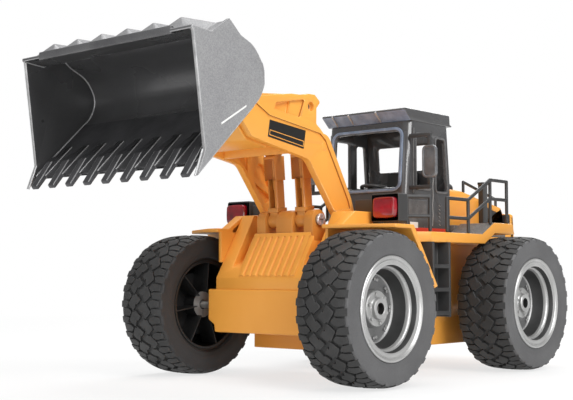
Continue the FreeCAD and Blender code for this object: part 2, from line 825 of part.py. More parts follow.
# ---------- tilt linkage ----------
fork_inner = 2.2
fork_outer = 4.6
link_half_height = 1.5


def crank_plate(centre, y0, y1):
    far = polar(centre, crank_length, crank_angle)
    near_disc = rod_y(centre[0], centre[1], 3.4, y0, y1)
    far_disc = rod_y(far[0], far[1], 2.8, y0, y1)
    side = Vector(far[1] - centre[1], 0, centre[0] - far[0]).normalize() * 2.6
    a = (centre[0] + side.x, centre[1] + side.z)
    b = (centre[0] - side.x, centre[1] - side.z)
    c = (far[0] - side.x, far[1] - side.z)
    d = (far[0] + side.x, far[1] + side.z)
    web = side_plate([a, b, c, d], y0, y1)
    return joined([near_disc, far_disc, web])


def tilt_linkage():
    core = rod_y(rocker_pivot[0], rocker_pivot[1], 2.4, -fork_outer, fork_outer)
    hubs = both_sides(rod_y(rocker_pivot[0], rocker_pivot[1], 3.4, fork_inner, arm_inner - body_gap))
    forks = both_sides(crank_plate(rocker_pivot, fork_inner, fork_outer))
    rocker = joined([core] + hubs + forks)
    near = polar(rocker_pivot, crank_length, crank_angle)
    far = polar(bucket_pivot, crank_length, crank_angle)
    holes = [
        rod_y(rocker_pivot[0], rocker_pivot[1], pin_radius + running_fit, -30, 30),
        rod_y(near[0], near[1], crank_pin + running_fit, -9, 9),
    ]
    pieces["tilt_rocker"] = cut(rocker, holes)
    width = fork_inner - 0.4
    ends = [rod_y(near[0], near[1], 2.8, -width, width), rod_y(far[0], far[1], 2.8, -width, width)]
    web = side_plate([
        (near[0], near[1] - link_half_height),
        (far[0], far[1] - link_half_height),
        (far[0], far[1] + link_half_height),
        (near[0], near[1] + link_half_height),
    ], -width, width)
    pins = [rod_y(p[0], p[1], crank_pin, -fork_outer, fork_outer) for p in (near, far)]
    pieces["tilt_link"] = joined(ends + [web] + pins)


# ---------- bucket ----------
def bucket_profile(offset):
    """Inner line of the bucket from lip to floor edge, moved outwards by offset."""
    x, z = bucket_pivot
    lift = offset - bucket_wall
    return [
        (bucket_lip[0], bucket_lip[1] + lift),
        (bucket_lip[0] - 10.5, bucket_lip[1] - 1.0 + lift),
        (x + 29.2, z + 16.3 + lift),
        (x + 22.7 - 0.3 * offset, z + 10.9 + lift),
        (x + 17.3 - 0.5 * offset, z + 8.5 + lift - 0.1 * offset),
        (x + 12.7 - 0.85 * offset, z + 4.1 + lift - 0.4 * offset),
        (x + 10.3 - offset, z - 3.1),
        (x + 11.5 - offset, z - 9.5 - 0.3 * offset),
        (x + 16.5 - 0.8 * offset, z - 15.5 - 0.65 * offset),
        (bucket_tip[0] - 3.7 - 0.69 * offset, bucket_tip[1] + 5.7 - 0.72 * offset),
    ]


def bucket_back_line(offset):
    points = [Vector(p[0], 0, p[1]) for p in bucket_profile(offset)]
    edges = [Part.LineSegment(points[i], points[i + 1]).toShape() for i in range(2)]
    curve = Part.BSplineCurve()
    curve.interpolate(points[2:9])
    edges.append(curve.toShape())
    edges.append(Part.LineSegment(points[8], points[9]).toShape())
    return edges


def bucket():
    inner = bucket_back_line(0)
    outer = bucket_back_line(bucket_wall)
    caps = []
    for vertex in (0, -1):
        a = inner[vertex].Vertexes[vertex].Point
        b = outer[vertex].Vertexes[vertex].Point
        caps.append(Part.LineSegment(a, b).toShape())
    wire = Part.Wire(Part.__sortEdges__(inner + outer + caps))
    skin = Part.Face(wire).extrude(Vector(0, 2 * bucket_half_width, 0))
    skin.translate(Vector(0, -bucket_half_width, 0))
    bx, bz = bucket_pivot
    side = side_plate([
        (bucket_lip[0] - 0.5, bucket_lip[1] - 0.4),
        (bucket_lip[0] - 10.5, bucket_lip[1] - 1.0),
        (bx + 29.5, bz + 16.9),
        (bx + 23.1, bz + 11.3),
        (bx + 18.1, bz + 9.3, 2),
        (bx + 12.1, bz + 3.5, 5),
        (bx + 8.9, bz - 3.5, 8),
        (bx + 10.1, bz - 11.1, 5),
        (bx + 15.7, bz - 17.5, 3),
        bucket_tip,
        bucket_knee,
    ], bucket_half_width - bucket_wall, bucket_half_width)
    teeth = []
    profile = bucket_profile(0)
    floor_start = profile[8]
    floor_edge = profile[9]
    slope = (floor_edge[1] - floor_start[1]) / (floor_edge[0] - floor_start[0])
    start_x = bx + 28.7
    start_z = floor_start[1] + (start_x - floor_start[0]) * slope
    tooth_pitch = (2 * bucket_half_width - 13.4) / (tooth_count - 1)
    for y in rows(tooth_count, tooth_pitch):
        teeth.append(side_plate([
            (start_x - 0.9, start_z - 0.6),
            (start_x, start_z + 0.3),
            (bucket_tip[0] - 6.8, bucket_tip[1] + 12.1, 2),
            (bucket_tip[0] + 1.2, bucket_tip[1] + 0.9),
            (bucket_tip[0], bucket_tip[1] - 0.6),
            (bucket_tip[0] - 4.8, bucket_tip[1] + 5.1),
        ], y - tooth_width / 2, y + tooth_width / 2))
    gussets = []
    lip_x, lip_z = bucket_lip
    for y in rows(gusset_count, gusset_pitch):
        half = gusset_pitch * 0.49
        outline = [(lip_x - 1.5, lip_z - 0.5), (lip_x - 10.5, lip_z - 1.5), (bx + 29.6, bz + 15.6)]
        right = [Vector(p[0], y - half, p[1]) for p in outline]
        left = [Vector(p[0], y + half, p[1]) for p in outline]
        peak = Vector(lip_x - 7.1, y, lip_z + 6.0)
        corners = [
            [right[0], left[0], peak],
            [left[0], left[1], peak],
            [left[1], left[2], peak],
            [left[2], right[2], peak],
            [right[2], right[1], peak],
            [right[1], right[0], peak],
            [right[0], right[1], left[1], left[0]],
            [right[1], right[2], left[2], left[1]],
        ]
        faces = [Part.Face(Part.makePolygon(c + [c[0]])) for c in corners]
        gussets.append(Part.Solid(Part.Shell(faces)))
    lug = side_plate([
        (bx - 2, bz + 5.0, 2),
        (bx + 11.9, bz + 3.9),
        (bx + 9.6, bz - 3.1),
        (bx + 10.2, bz - 7.1),
        (bx + 1, bz - 5.0, 2),
    ], lug_inner, lug_outer)
    lug_disc = rod_y(bx, bz, arm_tip_radius - 0.5, lug_inner, lug_outer)
    far = polar(bucket_pivot, crank_length, crank_angle)
    crank = crank_plate(bucket_pivot, fork_inner, fork_outer)
    crank_web = side_plate([
        (bx - 1, bz + 3.4),
        (bx + 11.2, bz + 2.5),
        (bx + 9.6, bz - 3.1),
        (bx + 10.0, bz - 6.1),
        (bx - 1, bz - 3.4),
    ], fork_inner, fork_outer)
    lugs = both_sides(joined([lug, lug_disc])) + both_sides(joined([crank, crank_web]))
    band = side_plate([
        (lip_x - 3.0, lip_z - bucket_wall + 0.1),
        (lip_x - 3.0, lip_z - 0.1),
        (lip_x - 1.8, lip_z + lip_band_above),
        (lip_x, lip_z + lip_band_above),
        (lip_x, lip_z - bucket_wall - lip_band_below),
        (lip_x - 1.2, lip_z - bucket_wall - lip_band_below),
    ], -lip_band_half, lip_band_half)
    body = joined([skin, band] + both_sides(side) + teeth + gussets + lugs)
    holes = [
        rod_y(bx, bz, bucket_pin_radius, -30, 30),
        rod_y(far[0], far[1], crank_pin + running_fit, -9, 9),
    ]
    pieces["bucket"] = cut(body, holes)
    pin = rod_y(bx, bz, bucket_pin_radius, lug_inner, arm_outer)
    pieces["bucket_pins"] = Part.makeCompound(both_sides(pin))


lug_inner = 15.5
lug_outer = arm_inner - body_gap


# ---------- rear module ----------
switch_x = rear_axle_x + 24.9
switch_travel = 4.0
battery_front = rear_body_front - 9.0
battery_rear = battery_front - 24.0
battery_half_width = 18.0


def rear_chassis():
    front = rear_body_front
    top = deck_top - deck_band
    shell = box(chassis_rear, front, -belly_half_width, belly_half_width, belly_height, top)
    hollow = box(chassis_rear + wall, front - wall, -belly_half_width + wall, belly_half_width - wall,
                 belly_height + wall, top + 1)
    tub = cut(shell, [hollow])
    lugs = []
    for z0 in (tongue_low - body_gap - lug_thickness, tongue_high + body_gap):
        lugs.append(box(front - 1, steer_x, -eye_radius, eye_radius, z0, z0 + lug_thickness))
        lugs.append(rod_z(steer_x, 0, eye_radius, z0, z0 + lug_thickness))
    cradle = box(pinion_x - 7, pinion_x + 7, motor_outer + 2, motor_inner - 2, belly_height + wall, axle_z)
    carriers = []
    for y0 in (-belly_half_width, bush_y):
        carriers.append(box(rear_axle_x - 7, rear_axle_x + 7, y0, y0 + bush_width, belly_height, axle_z + 7))
    ledges = both_sides(box(board_rear, board_front, belly_half_width - wall - 2.5, belly_half_width - wall,
                            board_z - 2, board_z))
    body = joined([tub, cradle] + lugs + carriers + ledges)
    holes = [
        rod_z(steer_x, 0, kingpin_radius + running_fit, belly_height, deck_top),
        rod_y(rear_axle_x, axle_z, bush_outer, -track / 2, track / 2),
        rod_y(pinion_x, axle_z, 8.0, motor_outer, motor_inner),
        box(battery_rear, battery_front, -battery_half_width, battery_half_width, belly_height - 1,
            belly_height + wall + 1),
        box(switch_x - 2 - body_gap, switch_x + 2 + switch_travel + body_gap, -2 - body_gap, 2 + body_gap,
            belly_height - 1, belly_height + wall + 1),
    ]
    pieces["rear_chassis"] = cut(body, holes)


board_front = rear_body_front - 11.0
board_rear = board_front - 38.0
board_z = deck_top - deck_band - 12.0


def inner_parts():
    edge = 0.2
    cover_half = battery_half_width - edge
    cover_top = belly_height + wall
    cover = box(battery_rear + edge, battery_front - edge, -cover_half, cover_half, belly_height, cover_top)
    tabs = []
    for x in (battery_rear - 2, battery_front - 1):
        tabs.append(box(x, x + 3, -5, 5, belly_height + wall, belly_height + wall + 1.2))
    tabs.append(box(battery_rear - 2, battery_front + 2, -5, 5, belly_height + wall, belly_height + wall + 1.2))
    pieces["battery_cover"] = joined([cover] + tabs)
    low = belly_height + wall + 1.2
    pack = box(battery_rear + 1, battery_front - 1, -16, 16, low, low + 15)
    pieces["battery_pack"] = pack.makeFillet(1.5, [e for e in pack.Edges if e.BoundBox.YLength > 20])
    board_half = belly_half_width - wall - 0.3
    board = box(board_rear, board_front, -board_half, board_half, board_z, board_z + 1.6)
    chips = [
        box(board_front - 24, board_front - 14, -8, 2, board_z + 1.6, board_z + 3.4),
        box(board_front - 34, board_front - 30, 6, 16, board_z + 1.6, board_z + 6.0),
        box(board_front - 8, board_front - 3, -16, -8, board_z + 1.6, board_z + 5.0),
        rod_z(board_front - 10, 10, 3, board_z + 1.6, board_z + 9),
    ]
    pieces["circuit_board"] = joined([board] + chips)
    floor = belly_height + wall
    slider = box(switch_x - 4, switch_x + 4, -5, 5, floor + 0.15, floor + 2.2)
    knob = box(switch_x - 2, switch_x + 2, -2, 2, belly_height - 1.2, floor + 1)
    pieces["power_switch"] = joined([slider, knob])
    pin = rod_z(steer_x, 0, kingpin_radius, tongue_low - body_gap - lug_thickness - 0.2,
                tongue_high + body_gap + lug_thickness + 2)
    head = rod_z(steer_x, 0, kingpin_radius + 2, tongue_low - body_gap - lug_thickness - 2.2,
                 tongue_low - body_gap - lug_thickness - 0.2)
    pieces["kingpin"] = joined([pin, head])
    motor = rod_y(cradle_x, lift_motor_z, lift_motor_radius, -10, 10)
    flats = box(cradle_x - 9, cradle_x + 9, -11, 11, lift_motor_z + 5.5, lift_motor_z + 9)
    shaft = rod_y(cradle_x, lift_motor_z, 1.0, 9, 14)
    pieces["lift_motor"] = joined([cut(motor, [flats]), shaft])


def deck():
    half = deck_half_width
    top = flat_plate([
        (deck_front, deck_corner_y, 1.5),
        (deck_corner_x, half, 3),
        (deck_rear, half),
        (deck_rear, belly_half_width),
        (chassis_rear, belly_half_width),
        (chassis_rear, -belly_half_width),
        (deck_rear, -belly_half_width),
        (deck_rear, -half),
        (deck_corner_x, -half, 3),
        (deck_front, -deck_corner_y, 1.5),
    ], deck_top - deck_band, deck_top)
    room = flat_plate([
        (deck_front - wall, -deck_corner_y + wall),
        (deck_front - wall, deck_corner_y - wall),
        (deck_corner_x - wall, half - wall),
        (deck_rear, half - wall),
        (deck_rear, belly_half_width),
        (rear_body_front + 0.5, belly_half_width),
        (rear_body_front + 0.5, -belly_half_width),
        (deck_rear, -belly_half_width),
        (deck_rear, -half + wall),
        (deck_corner_x - wall, -half + wall),
    ], deck_top - deck_band - 1, deck_top - wall)
    fender = side_plate([
        (deck_rear + 0.5, deck_top - deck_band),
        (deck_rear + 0.5, deck_top),
        (rear_fender_front, rear_fender_top, 1),
        (rear_fender_rear, rear_fender_top, 1.5),
        (rear_fender_rear - 2, deck_top + 0.6),
        (rear_fender_front - 1, deck_top + 0.6),
        (deck_rear - 2, deck_top - deck_band),
    ], belly_half_width, half)
    under = side_plate([
        (deck_rear + 1, deck_top - deck_band - 1),
        (deck_rear + 1, deck_top - wall),
        (deck_rear - 0.8, deck_top - wall),
        (rear_fender_front - 0.8, rear_fender_top - wall),
        (rear_fender_rear + 0.4, rear_fender_top - wall),
        (rear_fender_rear - 0.6, deck_top - 1),
        (deck_rear - 4, deck_top - deck_band - 1),
    ], belly_half_width + wall, half - wall)
    wings = both_sides(cut(fender, [under]))
    pieces["deck_plate"] = joined([cut(top, [room])] + wings)


def engine_cover():
    base = deck_top
    top_of_plinth = base + plinth_height
    pieces["hood_plinth"] = flat_plate([
        (cab_rear - 0.6, -plinth_half_width),
        (cab_rear - 0.6, plinth_half_width),
        (chassis_rear, plinth_half_width),
        (chassis_rear, -plinth_half_width),
    ], base, top_of_plinth)
    half = engine_half_width
    outline = [
        (engine_front, top_of_plinth),
        (engine_front, engine_top),
        (engine_front - 16, engine_top - 0.8, 12),
        (engine_step, engine_top - 4.5),
        (engine_step, grille_top + 4.8),
        (engine_rear + 2.5, grille_top + 0.8, 2),
        (engine_rear, grille_top - 2.6),
        (engine_rear, top_of_plinth),
    ]
    shell = side_plate(outline, -half, half)
    corners = cross_plate([
        (-half, top_of_plinth),
        (-half, engine_top, 5),
        (half, engine_top, 5),
        (half, top_of_plinth),
    ], engine_step, engine_front + 1)
    tail = box(engine_rear - 1, engine_step, -half, half, top_of_plinth, engine_top)
    shell = shell.common(joined([corners, tail]))
    room = side_plate([
        (engine_front - wall, top_of_plinth - 1),
        (engine_front - wall, engine_top - wall - 1),
        (engine_step + 1, engine_top - 7.5),
        (engine_rear + wall, grille_top - 6.5),
        (engine_rear + wall, top_of_plinth - 1),
    ], -half + wall, half - wall)
    window = side_plate([
        (engine_step - 2, top_of_plinth + 1),
        (engine_step - 2, grille_top + 2.4),
        (engine_rear + 0.8, grille_top - 3.2),
        (engine_rear + 0.8, top_of_plinth + 1),
    ], -half - 1, half + 1)
    pieces["engine_hood"] = cut(shell, [room, window])
    grille = side_plate([
        (engine_step - 2.1, top_of_plinth + 1.1),
        (engine_step - 2.1, grille_top + 2.3),
        (engine_rear + 0.9, grille_top - 3.3),
        (engine_rear + 0.9, top_of_plinth + 1.1),
    ], half - wall, half - 0.3)
    post_top = counterweight_top - 0.6
    post = box(engine_rear, engine_rear + 0.9, half, belly_half_width - 0.5, top_of_plinth, post_top)
    slits = []
    for i in range(5):
        x = engine_step - 6 - 4 * i
        slits.append(box(x - 0.7, x + 0.7, half - 0.9, half, top_of_plinth + 2.5, grille_top - 4.5))
    panels = both_sides(cut(grille, slits + [pieces["engine_hood"]])) + both_sides(post)
    pieces["side_grilles"] = Part.makeCompound(panels)
    low = counterweight_low
    block = side_plate([
        (engine_rear, top_of_plinth),
        (engine_rear, counterweight_top),
        (counterweight_rear + 1, counterweight_top, 1.5),
        (counterweight_rear, deck_top, 2),
        (counterweight_rear, low + 12, 4),
        (counterweight_rear + 5, low, 3),
        (chassis_rear, low),
        (chassis_rear, top_of_plinth),
    ], -belly_half_width, belly_half_width)
    block = block.makeFillet(2.0, [e for e in block.Edges if e.BoundBox.YLength < 0.01
                                   and e.BoundBox.XMin < counterweight_rear + 1.2 and e.BoundBox.ZLength > 20])
    hook = box(counterweight_rear - 3, counterweight_rear + 1, -4, 4, low + 10, low + 16)
    hook = cut(hook, [rod_z(counterweight_rear - 1, 0, 1.0, low, low + 20)])
    pieces["counterweight"] = joined([block, hook])
    stack = [
        box(engine_step - 5.2, engine_step - 0.2, half, half + 3.0, top_of_plinth, engine_top + 4.2),
        box(engine_step - 5.7, engine_step + 0.3, half - 0.4, half + 3.4, engine_top + 3.4, engine_top + 4.8),
    ]
    pieces["exhaust_stack"] = joined(stack)
    vent = cross_plate([
        (-vent_half_width, engine_top - 2.5),
        (-vent_half_width, engine_top + vent_height, 3),
        (vent_half_width, engine_top + vent_height, 3),
        (vent_half_width, engine_top - 2.5),
    ], engine_front - 1 - vent_length, engine_front - 1)
    vent = vent.makeFillet(2.0, [e for e in vent.Edges if e.BoundBox.XMax < engine_front - vent_length
                                 and e.BoundBox.ZMin > engine_top])
    pieces["hood_vent"] = cut(vent, [pieces["engine_hood"]])


def front_corner_edges(shape, half):
    """The upright edges at the two front corners of a cab-shaped solid."""
    picked = []
    for edge in shape.Edges:
        place = edge.BoundBox
        upright = place.ZLength > 10 and place.YLength < 0.01
        if upright and place.XMin > cab_front - 8 and abs(place.YMin) > half - 0.01:
            picked.append(edge)
    return picked


def cab():
    half = cab_half_width
    front = cab_front
    rear = cab_rear
    sill = deck_top + 24.0
    waist = deck_top + 28.4
    head = deck_top + 51.5
    shell = side_plate([
        (front, deck_top),
        (front, sill - 4),
        (front - 3.5, cab_top),
        (rear + 2.7, cab_top),
        (rear, waist),
        (rear, deck_top),
    ], -half, half)
    shell = shell.makeFillet(cab_corner_radius, front_corner_edges(shell, half))
    room = side_plate([
        (front - cab_wall, deck_top + cab_wall),
        (front - cab_wall, sill - 4),
        (front - 3.5 - cab_wall, cab_top + 1),
        (rear + 2.7 + cab_wall, cab_top + 1),
        (rear + cab_wall, waist),
        (rear + cab_wall, deck_top + cab_wall),
    ], -half + cab_wall, half - cab_wall)
    room = room.makeFillet(cab_corner_radius - cab_wall, front_corner_edges(room, half - cab_wall))
    screen_half = half - 6
    windscreen = cross_plate([
        (-screen_half, sill, 2),
        (screen_half, sill, 2),
        (screen_half, head + 1.9, 3),
        (-screen_half, head + 1.9, 3),
    ], front - 8, front + 2)
    door = side_plate([
        (front - 21.4, sill, 1.5),
        (front - 9.0, sill, 1.5),
        (front - 9.0, head, 2),
        (front - 21.4, head, 2),
    ], -half - 2, half + 2)
    rear_side = side_plate([
        (front - 37.6, sill - 0.8, 1.5),
        (front - 27.4, sill - 0.8, 1.5),
        (front - 27.4, head - 0.8, 2),
        (front - 35.2, head - 0.8, 2),
    ], -half - 2, half + 2)
    back = cross_plate([
        (-half + 8, head - 15.5, 2),
        (half - 8, head - 15.5, 2),
        (half - 8, head - 2, 2),
        (-half + 8, head - 2, 2),
    ], rear - 1, rear + 6)
    pieces["cab_shell"] = cut(shell, [room, windscreen, door, rear_side, back])
    top_half = half + roof_overhang
    roof = side_plate([
        (front - 4.0, cab_top),
        (front + 2.9, roof_top, 0.8),
        (rear + 0.2, roof_top, 0.8),
        (rear - 0.4, cab_top + 1.1),
        (rear - 2.0, cab_top + 0.9),
        (rear - 2.0, cab_top),
    ], -top_half, top_half)
    hollow = box(rear + 4, front - 6, -half + cab_wall, half - cab_wall, cab_top - 1, roof_top - cab_wall)
    pieces["cab_roof"] = cut(roof, [hollow])


def cab_fittings():
    floor = deck_top + cab_wall
    seat_top = floor + 16.0
    seat_half = 9.0
    seat_front = cab_rear + 22.0
    seat_rear = seat_front - 14.0
    seat_parts = [
        box(seat_rear + 1, seat_front - 1, -seat_half + 1, seat_half - 1, floor, seat_top - 4),
        box(seat_rear, seat_front, -seat_half, seat_half, seat_top - 4, seat_top),
        side_plate([
            (seat_rear - 2.4, seat_top - 2),
            (seat_rear + 2.0, seat_top - 2),
            (seat_rear - 0.6, seat_top + 17.5, 1.5),
            (seat_rear - 4.4, seat_top + 17.5, 1.5),
        ], -seat_half, seat_half),
    ]
    pieces["driver_seat"] = joined(seat_parts)
    console_rear = cab_front - 5.5
    console = box(console_rear, cab_front - cab_wall, -seat_half, seat_half, floor, floor + 17.5)
    ring_radius = 7.2
    centre = Vector(console_rear - 4, 0, floor + 23)
    tilt = Vector(-1.6, 0, 8.5)
    column = bar((console_rear + 1.5, 0, floor + 15.5), tuple(centre), 1.2)
    wheel_parts = [console, column, Part.makeTorus(ring_radius, 0.9, centre, tilt)]
    for i in range(3):
        spoke = Part.makeCylinder(0.7, ring_radius, centre, Vector(8.5, 0, 1.6))
        spoke.rotate(centre, tilt, 120 * i)
        wheel_parts.append(spoke)
    pieces["steering_wheel"] = joined(wheel_parts)
    x = cab_front - 4
    inner = cab_half_width + mirror_reach
    outer = inner + mirror_width
    stalk_y = inner + mirror_width / 2
    low = deck_top + 28.2
    high = low + mirror_height
    top_arm = high + 5.5
    low_arm = low - 4.6
    glass = cross_plate([
        (inner, low, 2.4),
        (outer, low, 2.4),
        (outer, high, 2.4),
        (inner, high, 2.4),
    ], x - 1, x + 1)
    stalks = joined([
        glass,
        bar((x, cab_half_width - 2, top_arm), (x, stalk_y, top_arm), stalk_radius),
        bar((x, stalk_y, top_arm), (x, stalk_y, high - 1), stalk_radius),
        bar((x, stalk_y, low + 1), (x, stalk_y, low_arm), stalk_radius),
        bar((x, stalk_y, low_arm), (x, cab_half_width - 2, low_arm), stalk_radius),
    ])
    inside = box(x - 4, x + 4, 0, cab_half_width, low - 20, high + 20)
    pieces["mirrors"] = Part.makeCompound(both_sides(cut(stalks, [inside])))


def handrails():
    base = deck_top
    rails = []
    front_post = (deck_front - 2.6, deck_corner_y - 0.8)
    corner_post = (deck_corner_x - 0.6, rail_y - 0.6)
    frame = []
    for x, y in (front_post, corner_post):
        frame.append(bar((x, y, base + rail_radius), (x, y, rail_top), rail_radius))
    for z in (rail_top, rail_middle):
        frame.append(bar((front_post[0], front_post[1], z), (corner_post[0], corner_post[1], z), rail_radius))
    rails.append(joined(frame))
    posts = [
        (deck_front - 26.0, base, rail_top, rail_middle),
        (deck_front - 46.0, base, rail_top, rail_middle),
        (rear_fender_front + 2.0, rear_fender_top - 0.95, high_rail_top, high_rail_middle),
        (rear_fender_rear + 4.2, rear_fender_top, high_rail_top, high_rail_middle),
    ]
    side = []
    for x, low, high, middle in posts:
        side.append(bar((x, rail_y, low + rail_radius), (x, rail_y, high), rail_radius))
    for i in range(3):
        a = posts[i]
        b = posts[i + 1]
        side.append(bar((a[0], rail_y, a[2]), (b[0], rail_y, b[2]), rail_radius))
        side.append(bar((a[0], rail_y, a[3]), (b[0], rail_y, b[3]), rail_radius))
    rails.append(joined(side))
    y = engine_half_width - 3
    grab_front = engine_step + 11.0
    grab_rear = engine_step - 24.0
    grab_radius = 0.8
    grab = joined([
        bar((grab_front, y, engine_top - 1), (grab_front, y, engine_top + 4.5), grab_radius),
        bar((grab_front, y, engine_top + 4.5), (grab_rear, y, engine_top - 3.5), grab_radius),
        bar((grab_rear, y, engine_top - 3.5), (grab_rear, y, grille_top + 1), grab_radius),
    ])
    rails.append(cut(grab, [pieces["engine_hood"]]))
    pieces["handrails_left"] = Part.makeCompound(rails)
    pieces["handrails_right"] = Part.makeCompound([mirrored(r) for r in rails])


def ladders():
    top = deck_top - deck_band
    stiles = [
        box(ladder_rear, ladder_rear + 1.5, ladder_inner, ladder_outer, ladder_low, top),
        box(ladder_front - 1.5, ladder_front, ladder_inner, ladder_outer, ladder_low, top),
    ]
    steps = []
    for z in (ladder_low + 2.0, ladder_low + 13.5, ladder_low + 25.0):
        steps.append(box(ladder_rear, ladder_front, ladder_inner, ladder_outer, z - 0.9, z + 0.9))
    tank = box(ladder_rear, ladder_front, belly_half_width, ladder_inner, ladder_low, top)
    tank = tank.makeFillet(3.0, [e for e in tank.Edges if e.BoundBox.XLength > 10
                                 and e.BoundBox.ZMax < ladder_low + 1 and e.BoundBox.YMin < ladder_inner - 1])
    left = joined([tank] + stiles + steps)
    trim = box(ladder_rear - 1, ladder_front + 1, deck_half_width - 0.01, ladder_outer + 1, top - 0.01, top + 1)
    left = cut(left, [trim])
    pieces["ladder_left"] = left
    pieces["ladder_right"] = mirrored(left)


# ---------- whole model ----------
wheels("front", front_axle_x)
wheels("rear", rear_axle_x)
pieces["front_bushes"] = bushes(front_axle_x)
pieces["rear_bushes"] = bushes(rear_axle_x)
drive_parts()
front_chassis()
bumper()
front_hood()
front_fender(1)
front_fender(-1)
lamps()
cylinder_bracket()
lift_arms()
lift_cylinders()
tilt_linkage()
bucket()
rear_chassis()
inner_parts()
deck()
engine_cover()
cab()
cab_fittings()
handrails()
ladders()

whole = Part.makeCompound(list(pieces.values())).BoundBox
origin_shift = Vector(-(whole.XMin + whole.XMax) / 2, 0, -whole.ZMin)

os.makedirs("parts", exist_ok=True)
for name, shape in pieces.items():
    moved = shape.copy()
    moved.translate(origin_shift)
    moved.exportStep("parts/" + name + ".step")
    print(name, len(moved.Solids), round(moved.Volume, 1), moved.isValid())
print("nodes", len(pieces), "length", round(whole.XLength, 1), "width", round(whole.YLength, 1),
      "height", round(whole.ZLength, 1), "shift", round(origin_shift.x, 3))
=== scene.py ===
import json
import math
import bmesh
import bpy
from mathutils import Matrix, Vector


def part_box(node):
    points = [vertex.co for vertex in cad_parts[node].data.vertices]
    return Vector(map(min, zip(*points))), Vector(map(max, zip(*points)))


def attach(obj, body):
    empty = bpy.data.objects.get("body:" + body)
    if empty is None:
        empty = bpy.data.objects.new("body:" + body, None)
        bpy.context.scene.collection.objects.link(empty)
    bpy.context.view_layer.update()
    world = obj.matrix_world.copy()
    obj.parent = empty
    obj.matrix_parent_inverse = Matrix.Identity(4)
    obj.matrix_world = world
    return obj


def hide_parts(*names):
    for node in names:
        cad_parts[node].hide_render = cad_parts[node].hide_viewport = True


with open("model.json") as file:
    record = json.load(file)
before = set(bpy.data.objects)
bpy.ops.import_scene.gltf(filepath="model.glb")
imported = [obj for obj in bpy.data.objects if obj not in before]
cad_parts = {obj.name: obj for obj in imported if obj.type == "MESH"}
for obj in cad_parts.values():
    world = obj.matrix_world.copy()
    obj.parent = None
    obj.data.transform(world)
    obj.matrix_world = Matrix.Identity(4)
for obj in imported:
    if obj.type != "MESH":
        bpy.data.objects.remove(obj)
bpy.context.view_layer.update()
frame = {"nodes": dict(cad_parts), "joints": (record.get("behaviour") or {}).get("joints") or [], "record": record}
print("frame loaded")

joints = {joint["name"]: joint for joint in frame["joints"]}
frontAxle = Vector(joints["front_axle_spin"]["pos_m"])
rearAxle = Vector(joints["rear_axle_spin"]["pos_m"])
bucketPivot = Vector(joints["bucket_tilt"]["pos_m"])
midX = (frontAxle.x + rearAxle.x) / 2
mm = 0.001


def at(x, y, z):  # millimetres from the point on the ground midway between the axles
    return Vector((midX + x * mm, y * mm, z * mm))


def addNode(tree, kind, inputs=None, **settings):  # a shader node with its settings, values and wires
    node = tree.nodes.new("ShaderNode" + kind)
    for name, value in settings.items():
        setattr(node, name, value)
    for name, value in (inputs or {}).items():
        if isinstance(value, bpy.types.NodeSocket):
            tree.links.new(value, node.inputs[name])
        else:
            node.inputs[name].default_value = value
    return node


# camera, light and floor
camera = {"place": (469.05, 357.69, 50.27), "heading": 40.8, "climb": 3.74, "lens": 71.0}
lights = {
    "key": {"place": (260, 900, 820), "aim": (0, 0, 60), "size": 0.7, "power": 9.4},
    "front": {"place": (1050, 60, 330), "aim": (40, 0, 70), "size": 0.8, "power": 2.4},
    "top": {"place": (-60, -80, 1050), "aim": (0, 0, 60), "size": 0.9, "power": 6.2},
    "back": {"place": (-900, -420, 520), "aim": (-40, 0, 70), "size": 0.7, "power": 5.0},
    "strip": {"place": (640, 880, 210), "aim": (-20, 10, 110), "size": 0.26, "tall": 0.8, "power": 6.0},
}
room = {"toy": 0.32, "seen": 1.0}  # strength of the white world on the toy, and as the camera sees it
paper = {"size": 14, "colour": (0.86, 0.86, 0.86, 1), "rough": 0.9, "near": 0.3, "far": 0.9, "share": 0.72}


def placeCamera():
    heading = math.radians(camera["heading"])
    climb = math.radians(camera["climb"])
    level = math.cos(climb)
    ahead = Vector((-math.cos(heading) * level, -math.sin(heading) * level, math.sin(climb)))
    turn = ahead.to_track_quat("-Z", "Y").to_euler()
    bpy.ops.object.camera_add(location=at(*camera["place"]), rotation=turn)
    view = bpy.context.object
    view.data.lens = camera["lens"]
    view.data.sensor_width = 36
    view.data.clip_start = 0.01
    bpy.context.scene.camera = view


def placeLights():
    for name, lamp in lights.items():
        spot = at(*lamp["place"])
        aim = at(*lamp["aim"]) - spot
        bpy.ops.object.light_add(type="AREA", location=spot, rotation=aim.to_track_quat("-Z", "Y").to_euler())
        light = bpy.context.object
        light.name = name + "Light"
        light.data.shape = "RECTANGLE" if "tall" in lamp else "DISK"
        light.data.size = lamp["size"]
        if "tall" in lamp:  # a tall panel that only shows as a reflection
            light.data.size_y = lamp["tall"]
            light.visible_diffuse = False
        light.data.energy = lamp["power"]


def whiteRoom():
    world = bpy.data.worlds.new("studio")
    bpy.context.scene.world = world
    world.use_nodes = True
    tree = world.node_tree
    back = tree.nodes["Background"]
    back.inputs["Color"].default_value = (1, 1, 1, 1)
    rays = addNode(tree, "LightPath")
    level = addNode(tree, "MapRange", {"Value": rays.outputs["Is Camera Ray"], "To Min": room["toy"],
                                       "To Max": room["seen"]})
    tree.links.new(level.outputs[0], back.inputs["Strength"])


